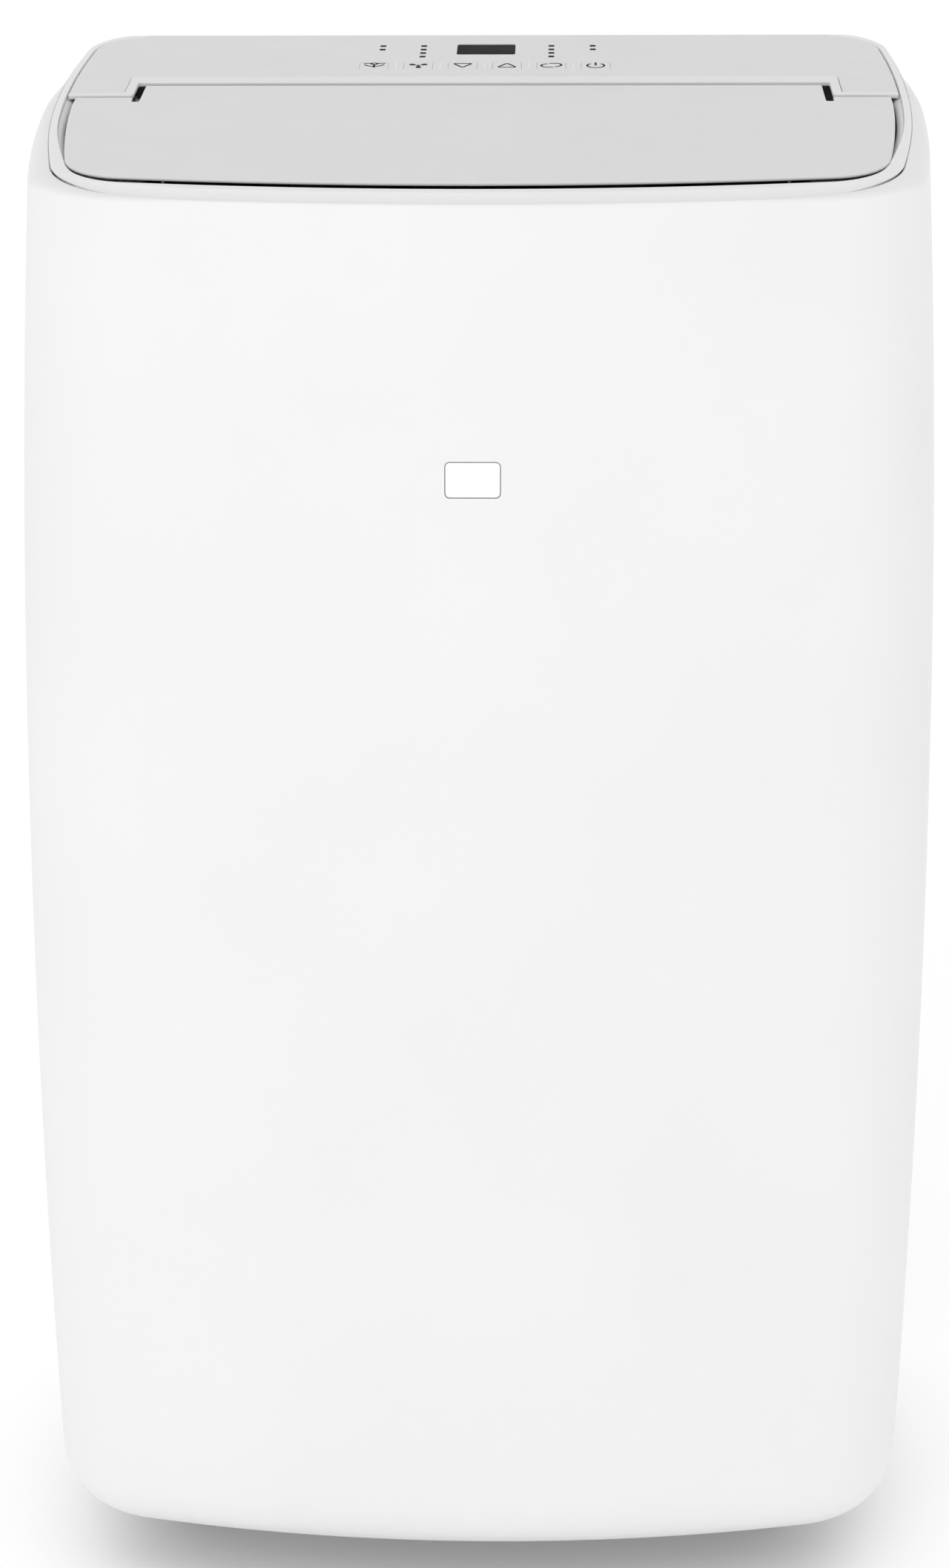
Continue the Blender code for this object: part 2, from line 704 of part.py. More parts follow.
def cover_section(rim, opening):
    """The cover's closed section at one place, from its seam over the rim and round underneath."""
    across = Vector((opening[0] - rim[0], opening[1] - rim[1], 0.0))
    width = across.length
    front = eased((width - 0.006) / 0.008) if rim[1] < 0.0 else 0.0
    lip = min(OPENING_LIP_THICK, width * 0.33)
    neck_at = COVE_START + 0.0005
    seam = rim_height(rim[1]) - COVER_GAP

    def place(distance, drop):
        x = rim[0] + across.x * distance / width
        y = rim[1] + across.y * distance / width
        return (x, y, top_z(y) - drop)

    edge = COVER_GAP + (COVE_START - COVER_GAP) * front
    edge_top = (1.0 - front) * 0.0006
    first = Vector(place(edge, edge_top))
    first.z += (seam - first.z) * front
    cove = place(edge + 0.0022 + 0.0010 * front, 0.0001)
    cove = (cove[0], cove[1], cove[2] + (seam - 0.0004 - cove[2]) * front)
    crown = place(edge + 0.0026 + (COVE_WIDTH - COVE_START) * front, 0.0001)
    neck = place(neck_at, 0.0)
    neck = (neck[0], neck[1], seam - RIM_EDGE - 0.0004)
    return [place(neck_at, 0.0070), neck, tuple(first), cove, crown, place(width, 0.0006),
            place(width, OPENING_LIP), place(width - lip, OPENING_LIP), place(width - lip, 0.0072)]


def make_top_cover():
    """A ring that carries the panel and frames the flap: a cove and a rim, then a wall downwards."""
    rim_loop = front_rim() + rear_rim()[1:-1]
    sections = [cover_section(rim, opening) for rim, opening in zip(rim_loop, opening_outline())]
    rows = list(zip(*sections))
    mesh = ring_mesh("top_cover", rows)
    return add_object("top_cover", mesh, WHITE_SHELL)


def slope_prism(name, outline, low, high):
    """Extrudes an (x, s) outline square to the slope, from low to high above it."""
    count = len(outline)
    points = [slope_point(x, s, low) for x, s in outline] + [slope_point(x, s, high) for x, s in outline]
    faces = [tuple(range(count)), tuple(range(count, 2 * count))]
    for index in range(count):
        after = (index + 1) % count
        faces.append((index, after, count + after, count + index))
    return mesh_from_faces(name, points, faces)


def slope_box(name, x_range, s_range, up_range):
    outline = [(x_range[0], s_range[0]), (x_range[1], s_range[0]),
               (x_range[1], s_range[1]), (x_range[0], s_range[1])]
    return slope_prism(name, outline, *up_range)


def mirrored(half):
    return half + [(-x, s) for x, s in reversed(half)]


def panel_side(s):
    """The panel's edge follows the bowed side of the opening."""
    return PANEL_HALF_WIDTH - side_fall(CREST_Y - s * math.cos(SLOPE))


def panel_outline():
    """Rear edge with round corners, bowed sides, and an ear forward on each side."""
    corner_s = OPENING_REAR_CORNER + 0.0012
    corner_x = panel_side(corner_s) - OPENING_REAR_CORNER
    half = arc((corner_x, corner_s), OPENING_REAR_CORNER, -math.pi / 2.0, 0.0, 6)
    side_steps = 3
    for step in range(1, side_steps + 1):
        s = corner_s + (EAR_FRONT_S - corner_s) * step / side_steps
        half.append((panel_side(s), s))
    half += [(EAR_INNER_X, EAR_FRONT_S), (EAR_INNER_X, PANEL_FRONT_S)]
    return mirrored(half)


def key_x(index):
    return (index - (len(KEY_NAMES) - 1) / 2.0) * KEY_PITCH


def make_control_panel():
    mesh = slope_prism("control_panel", panel_outline(), -PANEL_THICK, 0.0)
    bar = slope_box("tool", (-0.2000, 0.2000), (BAR_START_S, PANEL_FRONT_S - 0.0002), (-0.0010, BAR_HEIGHT))
    mesh = join(mesh, bar)
    display_hole = rounded_rectangle((0.0, DISPLAY_S), *DISPLAY_SIZE, 0.0012, 2)
    tools = [slope_prism("tool", display_hole, -0.02, 0.02)]
    for index in range(len(KEY_NAMES)):
        outline = rounded_rectangle((key_x(index), KEY_S), *KEY_SIZE, 0.0020, 3)
        tools.append(slope_prism("tool", outline, -0.02, 0.02))
    return add_object("control_panel", cut(mesh, *tools), GREY_TOP)


def make_display_window():
    size = (DISPLAY_SIZE[0] - 2 * GAP, DISPLAY_SIZE[1] - 2 * GAP)
    outline = rounded_rectangle((0.0, DISPLAY_S), *size, 0.0010, 2)
    mesh = slope_prism("display_window", outline, -0.0030, -0.0002)
    return add_object("display_window", mesh, BLACK_GLOSS)


def make_key(name, index):
    """A flush key cap, with its origin in the middle of its top face."""
    size = (KEY_SIZE[0] - 3 * GAP, KEY_SIZE[1] - 3 * GAP)
    mesh = slope_prism(name, rounded_rectangle((key_x(index), KEY_S), *size, 0.0018, 3), -KEY_DEPTH, 0.0)
    origin = slope_point(key_x(index), KEY_S)
    mesh.transform(Matrix.Translation(-origin))
    return add_object(name, mesh, GREY_TOP, origin)


def make_display_board():
    mesh = slope_box("display_board", (-0.075, 0.075), (0.014, 0.084), (-BOARD_DROP - 0.0016, -BOARD_DROP))
    return add_object("display_board", mesh, BOARD_GREEN)


def flap_outline():
    """The flap in (x, s): bowed front and sides with round corners, and a narrower tongue behind."""
    side_bow = SIDE_BOW_RADIUS / math.cos(SLOPE) ** 2
    widest_s = (CREST_Y - SIDE_BOW_Y) / math.cos(SLOPE)
    around = bowed_half(FLAP_HALF_WIDTH, FLAP_FRONT_S, BOW_RADIUS_HEAD, FLAP_CORNER, (3, 6, 12),
                        -FLAP_SHOULDER_S, side_bow, -widest_s)
    tongue = [(FLAP_SLOT_X, FLAP_SHOULDER_S), (FLAP_SLOT_X, FLAP_SLOT_S), (FLAP_TONGUE_HALF, FLAP_SLOT_S),
              (FLAP_TONGUE_HALF, FLAP_REAR_S)]
    return [(x, -y) for x, y in around] + mirrored(tongue)


def hinge_point(x=0.0):
    return slope_point(x, HINGE_S, -HINGE_DROP)


def make_flap():
    """A plate with two hinge arms and pins; its origin is on the hinge line."""
    mesh = slope_prism("louver_flap", flap_outline(), -FLAP_THICK, 0.0)
    axis = hinge_point()
    for side in (-1.0, 1.0):
        inner = side * (HINGE_ARM_X - 0.005)
        outer = side * HINGE_ARM_X
        arm = slope_box("tool", (min(inner, outer), max(inner, outer)), (HINGE_S - 0.0030, HINGE_S + 0.0060),
                        (-HINGE_DROP - 0.0030, -FLAP_THICK + 0.0010))
        tip = side * (HINGE_ARM_X + 0.0140)
        pin = cylinder_mesh("tool", "X", axis, HINGE_PIN_RADIUS, min(inner, tip), max(inner, tip), 12)
        mesh = join(mesh, arm, pin)
    mesh.transform(Matrix.Translation(-axis))
    return add_object("louver_flap", mesh, GREY_TOP, axis)


def make_flap_motor():
    """A stepping motor whose shaft is off its centre, so the can hangs below the hinge line."""
    axis = hinge_point()
    can_centre = slope_point(0.0, HINGE_S, -HINGE_DROP - 0.0070)
    shaft_end = -(HINGE_ARM_X + 0.0140) - GAP
    mesh = join(cylinder_mesh("flap_motor", "X", can_centre, 0.0100, -0.1895, -0.1745, 20),
                cylinder_mesh("tool", "X", axis, 0.0016, -0.1760, shaft_end, 12))
    return add_object("flap_motor", mesh, STEEL)


# ---------------------------------------------------------------- air outlet
def duct_top(y, drop):
    return top_z(y) - drop


def make_outlet_duct():
    y_low, y_high = DUCT_Y
    outer = [(y_low, DUCT_Z), (y_high, DUCT_Z), (y_high, duct_top(y_high, DUCT_TOP_DROP)),
             (y_low, duct_top(y_low, DUCT_TOP_DROP))]
    inner = [(y_low + WALL, DUCT_Z + WALL), (y_high - WALL, DUCT_Z + WALL),
             (y_high - WALL, 0.80), (y_low + WALL, 0.80)]
    mesh = prism_mesh("outlet_duct", outer, "X", -DUCT_HALF_WIDTH, DUCT_HALF_WIDTH)
    mesh = cut(mesh, prism_mesh("tool", inner, "X", -DUCT_HALF_WIDTH + WALL, DUCT_HALF_WIDTH - WALL))
    neck = scroll_neck(EVAPORATOR_WHEEL, EVAPORATOR_SCROLL)
    scroll_y = EVAPORATOR_SCROLL["y"]
    tools = [box_mesh("tool", (neck[0] + WALL, scroll_y[0] + WALL, DUCT_Z - 0.01),
                      (neck[1] - WALL, scroll_y[1] - WALL, DUCT_Z + 0.01))]
    for index in range(VANE_COUNT):
        tools.append(cylinder_mesh("tool", "Y", (vane_x(index), 0.0, VANE_PIVOT_Z),
                                   PIN_RADIUS + 0.0004, y_low - 0.01, y_high + 0.01, 12))
    mesh = cut(mesh, *tools)
    axis = hinge_point()
    for side in (-1.0, 1.0):
        near = side * (DUCT_HALF_WIDTH - 0.0015)
        far = side * (DUCT_HALF_WIDTH + 0.0060)
        block = slope_box("tool", (min(near, far), max(near, far)), (HINGE_S - 0.0040, HINGE_S + 0.0280),
                          (-0.0260, -HINGE_DROP + 0.0012))
        mesh = join(mesh, block)
    bore = cylinder_mesh("tool", "X", axis, HINGE_PIN_RADIUS + 0.0005, -0.18, 0.18, 12)
    return add_object("outlet_duct", cut(mesh, bore), DUCT_GREY)


def vane_x(index):
    return (index - (VANE_COUNT - 1) / 2.0) * VANE_PITCH


def vane_mesh():
    """A guide vane about its pivot: a plate notched below for the link, with three pins."""
    y_low, y_high = VANE_Y
    notch = (LINK_Y[0] - 0.0030, LINK_Y[1] + 0.0030)
    notch_top = -VANE_CRANK + 0.0060
    low = -VANE_HALF_HEIGHT
    outline = [(y_low, low), (notch[0], low), (notch[0], notch_top), (notch[1], notch_top),
               (notch[1], low), (y_high, low), (y_high, VANE_HALF_HEIGHT), (y_low, VANE_HALF_HEIGHT)]
    mesh = prism_mesh("vane", outline, "X", -VANE_THICK / 2.0, VANE_THICK / 2.0)
    sunk = 0.0020
    front_pin = cylinder_mesh("tool", "Y", (0.0, 0.0, 0.0), PIN_RADIUS, y_low - 0.0060, y_low + sunk, 8)
    rear_pin = cylinder_mesh("tool", "Y", (0.0, 0.0, 0.0), PIN_RADIUS, y_high - sunk, y_high + 0.0060, 8)
    crank_pin = cylinder_mesh("tool", "Y", (0.0, 0.0, -VANE_CRANK), PIN_RADIUS,
                              notch[0] - sunk, notch[1] + sunk, 8)
    return join(mesh, front_pin, rear_pin, crank_pin)


def make_vanes():
    mesh = vane_mesh()
    mesh.materials.append(make_material("vane", DUCT_GREY))
    for index in range(VANE_COUNT):
        add_object("vane_%d" % (index + 1), mesh, None, (vane_x(index), 0.0, VANE_PIVOT_Z))


def make_vane_link():
    """The bar that joins the vanes; its origin is on the first vane's crank pin."""
    half_height = 0.0034
    reach = 0.0060
    last = VANE_PITCH * (VANE_COUNT - 1)
    mesh = box_mesh("vane_link", (-reach, LINK_Y[0], -half_height), (last + reach, LINK_Y[1], half_height))
    tools = []
    for index in range(VANE_COUNT):
        tools.append(cylinder_mesh("tool", "Y", (VANE_PITCH * index, 0.0, 0.0), PIN_RADIUS + 0.0005,
                                   LINK_Y[0] - 0.01, LINK_Y[1] + 0.01, 12))
    return add_object("vane_link", cut(mesh, *tools), DARK_PLASTIC,
                      (vane_x(0), 0.0, VANE_PIVOT_Z - VANE_CRANK))


# ---------------------------------------------------------------- fans
def scroll_neck(wheel, scroll):
    """Left and right sides of the scroll's outlet neck."""
    return (wheel["x"] + scroll["low"] * math.cos(math.radians(60)), wheel["x"] + scroll["high"])


def scroll_outline(wheel, scroll, inset, top):
    """A spiral that opens from the tongue round to the right, then a straight neck upwards."""
    points = []
    steps = 20
    for index in range(steps + 1):
        share = index / steps
        angle = math.radians(60 + 300 * share)
        radius = scroll["low"] + (scroll["high"] - scroll["low"]) * share - inset
        points.append((wheel["x"] + radius * math.cos(angle), wheel["z"] + radius * math.sin(angle)))
    left, right = scroll_neck(wheel, scroll)
    points.append((right - inset, top))
    points.append((left + inset, top))
    return points


def make_scroll(name, wheel, scroll):
    y_low, y_high = scroll["y"]
    mesh = prism_mesh(name, scroll_outline(wheel, scroll, 0.0, scroll["top"]), "Y", y_low, y_high)
    inside = prism_mesh("tool", scroll_outline(wheel, scroll, 0.0022, scroll["top"] + 0.01), "Y",
                        y_low + 0.0025, y_high - 0.0025)
    centre = (wheel["x"], 0.0, wheel["z"])
    inlet = cylinder_mesh("tool", "Y", centre, wheel["radius"] * 0.82, y_high - 0.01, y_high + 0.01, 24)
    shaft_hole = cylinder_mesh("tool", "Y", centre, 0.0060, y_low - 0.01, y_low + 0.01, 16)
    return add_object(name, cut(mesh, inside, inlet, shaft_hole), DUCT_GREY)


def make_wheel(name, wheel, motor_y):
    """A squirrel-cage wheel with its shaft; the origin is on the shaft line."""
    radius = wheel["radius"]
    y_low, y_high = wheel["y"]
    inner = radius * 0.80
    disc = 0.0025
    hub = [(0.0, motor_y), (0.0030, motor_y), (0.0030, y_low), (radius, y_low), (radius, y_low + disc),
           (0.0140, y_low + disc), (0.0100, y_low + 0.018), (0.0, y_low + 0.018)]
    mesh = turned_mesh(name, hub, "Y", (0.0, 0.0, 0.0), 32)
    ring_profile = [(inner, y_high - disc), (radius, y_high - disc), (radius, y_high), (inner, y_high)]
    ring = turned_mesh("tool", ring_profile, "Y", (0.0, 0.0, 0.0), 32)
    blades = bmesh.new()
    count = 16
    for index in range(count):
        blade = box_mesh("blade", (inner + 0.001, y_low + disc / 2.0, -0.0007),
                         (radius - 0.0015, y_high - disc / 2.0, 0.0007))
        lean = Matrix.Translation((radius * 0.9, 0.0, 0.0))
        turn = Matrix.Rotation(2.0 * math.pi * index / count, 4, "Y")
        blade.transform(turn @ lean @ Matrix.Rotation(math.radians(28), 4, "Y") @ lean.inverted())
        blades.from_mesh(blade)
    blade_mesh = bpy.data.meshes.new("tool")
    blades.to_mesh(blade_mesh)
    blades.free()
    mesh = join(mesh, blade_mesh, ring)
    return add_object(name, mesh, DARK_PLASTIC, (wheel["x"], 0.0, wheel["z"]))


def make_fan_motor(name, wheel, radius, y_low, y_high):
    """A round motor with domed ends and a bore for the wheel's shaft."""
    bore = 0.0036
    depth = 0.0120
    profile = [(bore, y_high - depth), (bore, y_high), (0.0100, y_high), (0.0100, y_high - 0.004),
               (radius * 0.8, y_high - 0.004), (radius, y_high - 0.010), (radius, y_low + 0.008),
               (radius * 0.75, y_low), (0.0, y_low)]
    profile = [(0.0, y_high - depth)] + profile
    mesh = turned_mesh(name, profile, "Y", (wheel["x"], 0.0, wheel["z"]), 24)
    return add_object(name, mesh, STEEL)


# ---------------------------------------------------------------- coils, compressor and pipes
def make_coil(name, corners, fins):
    """A fin block: a comb in plan, extruded upwards, with solid ends."""
    low, high = corners
    end = 0.006
    spine = low[1] + 0.012
    pitch = (high[0] - low[0] - 2 * end) / fins
    outline = [(low[0], low[1]), (high[0], low[1]), (high[0], high[1]), (high[0] - end, high[1])]
    for index in range(fins):
        right = high[0] - end - pitch * index
        outline += [(right, spine), (right - pitch * 0.5, spine)]
        outline += [(right - pitch * 0.5, high[1]), (right - pitch, high[1])]
    outline.append((low[0], high[1]))
    return add_object(name, prism_mesh(name, outline, "Z", low[2], high[2]), ALUMINIUM)


def make_compressor():
    low, high = COMPRESSOR_Z
    radius = COMPRESSOR_RADIUS
    profile = [(0.0, low), (radius + 0.010, low), (radius + 0.010, low + 0.004), (radius, low + 0.004)]
    profile += [(radius, high - 0.030), (radius * 0.92, high - 0.012), (radius * 0.60, high - 0.002),
                (0.0, high)]
    mesh = turned_mesh("compressor", profile, "Z", (*COMPRESSOR_AT, 0.0), 24)
    return add_object("compressor", mesh, BLACK_STEEL)


def make_accumulator():
    low, high = ACCUMULATOR_Z
    radius = ACCUMULATOR_RADIUS
    profile = [(0.0, low), (radius * 0.5, low), (radius, low + 0.014), (radius, high - 0.014),
               (radius * 0.5, high), (0.0, high)]
    mesh = turned_mesh("accumulator", profile, "Z", (*ACCUMULATOR_AT, 0.0), 20)
    return add_object("accumulator", mesh, BLACK_STEEL)


def smooth_route(knots, per_span=3):
    """Points on a smooth curve through the knots (a Catmull-Rom spline)."""
    knots = [Vector(knot) for knot in knots]
    padded = [2 * knots[0] - knots[1]] + knots + [2 * knots[-1] - knots[-2]]
    route = []
    for index in range(1, len(padded) - 2):
        before, start, end, after = padded[index - 1:index + 3]
        for step in range(per_span):
            t = step / per_span
            route.append(0.5 * ((2 * start) + (end - before) * t
                                + (2 * before - 5 * start + 4 * end - after) * t ** 2
                                + (3 * start - before - 3 * end + after) * t ** 3))
    route.append(knots[-1])
    return route


def make_pipe(name, knots, radius):
    curve = bpy.data.curves.new(name, "CURVE")
    curve.dimensions = "3D"
    curve.bevel_depth = radius
    curve.bevel_resolution = 1
    curve.use_fill_caps = True
    route = smooth_route(knots)
    spline = curve.splines.new("POLY")
    spline.points.add(len(route) - 1)
    for point, place in zip(spline.points, route):
        point.co = (*place, 1.0)
    curve.materials.append(make_material(name, COPPER))
    piece = bpy.data.objects.new(name, curve)
    bpy.context.scene.collection.objects.link(piece)
    return piece


def make_pipes():
    compressor_x, compressor_y = COMPRESSOR_AT
    accumulator_x, accumulator_y = ACCUMULATOR_AT
    make_pipe("suction_pipe", [
        (accumulator_x, accumulator_y, ACCUMULATOR_Z[1] + GAP), (accumulator_x, accumulator_y, 0.300),
        (accumulator_x, accumulator_y, 0.400), (accumulator_x - 0.002, accumulator_y, 0.480),
        (accumulator_x - 0.003, 0.055, 0.530), (accumulator_x - 0.006, 0.078, 0.552),
        (EVAPORATOR_COIL[0][0] - 0.010, 0.082, 0.555),
        (EVAPORATOR_COIL[0][0] - GAP, 0.082, 0.555)], PIPE_RADIUS)
    make_pipe("discharge_pipe", [
        (compressor_x, compressor_y, COMPRESSOR_Z[1] + GAP), (compressor_x, compressor_y, 0.290),
        (compressor_x - 0.010, compressor_y + 0.020, 0.312), (compressor_x + 0.006, 0.040, 0.300),
        (compressor_x + 0.010, 0.085, 0.296), (compressor_x + 0.012, 0.101, 0.288),
        (compressor_x + 0.012, 0.102, CONDENSER_COIL[1][2] + GAP)], PIPE_RADIUS)
    make_pipe("capillary_tube", [
        (-0.060, 0.102, CONDENSER_COIL[1][2] + GAP), (-0.060, 0.100, 0.300), (-0.080, 0.085, 0.330),
        (-0.140, 0.070, 0.370), (-0.172, 0.070, 0.400), (-0.176, 0.072, 0.440),
        (-0.178, 0.084, 0.485), (EVAPORATOR_COIL[0][0] - 0.010, 0.088, 0.500),
        (EVAPORATOR_COIL[0][0] - GAP, 0.088, 0.500)], 0.0015)


# ---------------------------------------------------------------- exhaust, deck, pan and boxes
def make_exhaust_duct():
    """A square elbow from the condenser scroll's neck to the round port in the rear wall."""
    left, right = scroll_neck(CONDENSER_WHEEL, CONDENSER_SCROLL)
    low_z = CONDENSER_SCROLL["top"] + GAP
    high_z = DECK_Z[0] - GAP
    front, rear = CONDENSER_SCROLL["y"][0], 0.1500
    x_low = EXHAUST_X - 0.0650
    x_high = right
    mesh = box_mesh("exhaust_duct", (x_low, front, low_z), (x_high, rear, high_z))
    inside = box_mesh("tool", (x_low + 0.0025, front + 0.0025, low_z + 0.0025),
                      (x_high - 0.0025, rear - 0.0025, high_z - 0.0025))
    throat = box_mesh("tool", (left + 0.0025, front + 0.0030, low_z - 0.01),
                      (right - 0.0028, CONDENSER_SCROLL["y"][1] - 0.0030, low_z + 0.01))
    port = cylinder_mesh("tool", "Y", (EXHAUST_X, 0.0, EXHAUST_Z), 0.0520, rear - 0.02, rear + 0.02, 32)
    return add_object("exhaust_duct", cut(mesh, throat, inside, port), DUCT_GREY)


def make_exhaust_collar():
    """The hose port: a short tube with a stepped lip."""
    inner = EXHAUST_RADIUS
    outer = EXHAUST_RADIUS + 0.0050
    lip = EXHAUST_RADIUS + 0.0100
    start = 0.1500 + GAP
    profile = [(inner, start), (outer, start), (outer, 0.1800), (lip, 0.1830), (lip, EXHAUST_RIM_Y),
               (inner, EXHAUST_RIM_Y)]
    mesh = turned_mesh("exhaust_collar", profile, "Y", (EXHAUST_X, 0.0, EXHAUST_Z), 32)
    return add_object("exhaust_collar", mesh, WHITE_SHELL)


def make_deck():
    """The drip tray that parts the two chambers, notched on the left for the pipes."""
    mesh = prism_mesh("deck", body_outline(sum(DECK_Z) / 2.0, WALL + 0.0012), "Z", *DECK_Z)
    notch = box_mesh("tool", (-0.1900, 0.020, 0.3), (-0.1620, 0.100, 0.5))
    return add_object("deck", cut(mesh, notch), DUCT_GREY)


def make_base_pan():
    low, high = PAN_Z
    inset = foot_inset(0.0) + WALL + 0.0010
    outline = body_outline(low, inset)
    sunk = body_outline(low, inset + 0.0025)
    mesh = cut(prism_mesh("base_pan", outline, "Z", low, high - 0.004),
               prism_mesh("tool", sunk, "Z", low + PAN_FLOOR, high + 0.01))
    for x, y in CASTOR_PLACES.values():
        boss = cylinder_mesh("tool", "Z", (x, y, 0.0), 0.0085, low + 0.001, low + 0.0130, 16)
        mesh = join(mesh, boss)
    for x, y in CASTOR_PLACES.values():
        socket = cylinder_mesh("tool", "Z", (x, y, 0.0), 0.0045, low - 0.01, low + 0.0110, 16)
        mesh = cut(mesh, socket)
    width, length = PLINTH_SIZE
    foot = rounded_rectangle((0.0, 0.0), width, length, 0.012)
    plinth = prism_mesh("tool", foot, "Z", PLINTH_Z, low + 0.001)
    return add_object("base_pan", join(mesh, plinth), BLACK_STEEL)


def make_control_box():
    mesh = box_mesh("control_box", (0.1350, -0.1100, 0.4600), (0.1950, 0.0100, 0.5900))
    return add_object("control_box", mesh, STEEL)


# ---------------------------------------------------------------- condensate slinger
def make_slinger():
    """The motor on its post and the toothed wheel that throws condensate on to the condenser."""
    x, z = SLINGER_AT
    pan_floor = PAN_Z[0] + PAN_FLOOR + GAP
    motor = join(cylinder_mesh("slinger_motor", "Y", (x, 0.0, z), 0.0170, 0.0200, 0.0480, 20),
                 box_mesh("tool", (x - 0.006, 0.0260, pan_floor), (x + 0.006, 0.0420, z)))
    bore = cylinder_mesh("tool", "Y", (x, 0.0, z), 0.0026, 0.0400, 0.0600, 12)
    add_object("slinger_motor", cut(motor, bore), DARK_PLASTIC)
    teeth = 12
    outline = []
    for index in range(teeth):
        angle = 2.0 * math.pi * index / teeth
        for shift, radius in ((0.0, 0.8), (0.18, 1.0), (0.34, 1.0), (0.40, 0.8)):
            outline.append((SLINGER_RADIUS * radius * math.cos(angle + shift),
                            SLINGER_RADIUS * radius * math.sin(angle + shift)))
    wheel = join(prism_mesh("slinger_wheel", outline, "Y", 0.0560, 0.0600),
                 cylinder_mesh("tool", "Y", (0.0, 0.0, 0.0), 0.0022, 0.0440, 0.0580, 12))
    add_object("slinger_wheel", wheel, DARK_PLASTIC, (x, 0.0, z))


# ---------------------------------------------------------------- rear fittings
def make_intake(side, corners, rows):
    """A louvred grille and the filter screen that is clipped behind it."""
    low, high = corners
    grille = pierced_plate(side + "_grille", low, high, GRILLE_Y, rows, 2, 0.008, 0.0060)
    add_object(side + "_grille", grille, WHITE_SHELL)
    inner_low = (low[0] + 0.004, low[1] + 0.004)
    inner_high = (high[0] - 0.004, high[1] - 0.004)
    screen = pierced_plate(side + "_filter", inner_low, inner_high, FILTER_Y, 3, 4, 0.006, 0.003)
    add_object(side + "_filter", screen, FILTER_GREY)


def make_drain_cap(name, place):
    """A rubber plug with a flange and a grip rib."""
    x, z = place
    profile = [(0.0, 0.1700), (0.0065, 0.1700), (0.0068, 0.1830), (DRAIN_RADIUS, 0.1840),
               (DRAIN_RADIUS, 0.1890), (0.0, 0.1890)]
    mesh = turned_mesh(name, profile, "Y", (x, 0.0, z), 20)
    rib = box_mesh("tool", (x - 0.0060, 0.1880, z - 0.0012), (x + 0.0060, 0.1930, z + 0.0012))
    return add_object(name, join(mesh, rib), RUBBER)


def make_cord_inlet():
    x, z = CORD_INLET
    profile = [(0.0040, 0.1780), (CORD_INLET_RADIUS, 0.1780), (CORD_INLET_RADIUS, 0.1930), (0.0040, 0.1930)]
    mesh = turned_mesh("cord_inlet", profile, "Y", (x, 0.0, z), 20)
    return add_object("cord_inlet", mesh, RUBBER)


# ---------------------------------------------------------------- castors
def fork_mesh():
    """A castor fork about its swivel line: stem, plate, two cheeks and the axle between them."""
    cheek = CASTOR_WIDTH / 2.0 + 0.0010
    thick = 0.0020
    plate_low = CASTOR_FORK_TOP - 0.0030
    mesh = box_mesh("fork", (-cheek - thick, -0.0090, plate_low),
                    (cheek + thick, CASTOR_TRAIL + 0.0060, CASTOR_FORK_TOP))
    stem_top = CASTOR_FORK_TOP + 0.0090
    stem = cylinder_mesh("tool", "Z", (0.0, 0.0, 0.0), 0.0038, plate_low + 0.001, stem_top, 16)
    parts = [stem]
    for side in (-1.0, 1.0):
        inner = side * cheek
        outer = side * (cheek + thick)
        outline = [(CASTOR_TRAIL - 0.0050, 0.0130), (CASTOR_TRAIL + 0.0050, 0.0130),
                   (CASTOR_TRAIL + 0.0060, plate_low + 0.001), (-0.0090, plate_low + 0.001)]
        parts.append(prism_mesh("tool", outline, "X", min(inner, outer), max(inner, outer)))
    parts.append(cylinder_mesh("tool", "X", (0.0, CASTOR_TRAIL, wheel_height()), 0.0020,
                               -cheek - 0.001, cheek + 0.001, 12))
    return join(mesh, *parts)


def wheel_height():
    """The axle stands at the wheel's apothem, so that a flat of the tread meets the floor."""
    return CASTOR_RADIUS * math.cos(math.pi / CASTOR_SIDES)


def make_castors():
    fork = fork_mesh()
    fork.materials.append(make_material("castor_fork", DARK_PLASTIC))
    bore = 0.0026
    half = CASTOR_WIDTH / 2.0
    profile = [(bore, -half), (CASTOR_RADIUS - 0.0010, -half), (CASTOR_RADIUS, -half + 0.0015),
               (CASTOR_RADIUS, half - 0.0015), (CASTOR_RADIUS - 0.0010, half), (bore, half)]
    wheel = turned_mesh("castor_wheel", profile, "X", (0.0, 0.0, 0.0), CASTOR_SIDES)
    wheel.materials.append(make_material("castor_wheel", RUBBER))
    for name, (x, y) in CASTOR_PLACES.items():
        add_object("fork_" + name, fork, None, (x, y, 0.0))
        add_object("wheel_" + name, wheel, None, (x, y + CASTOR_TRAIL, wheel_height()))


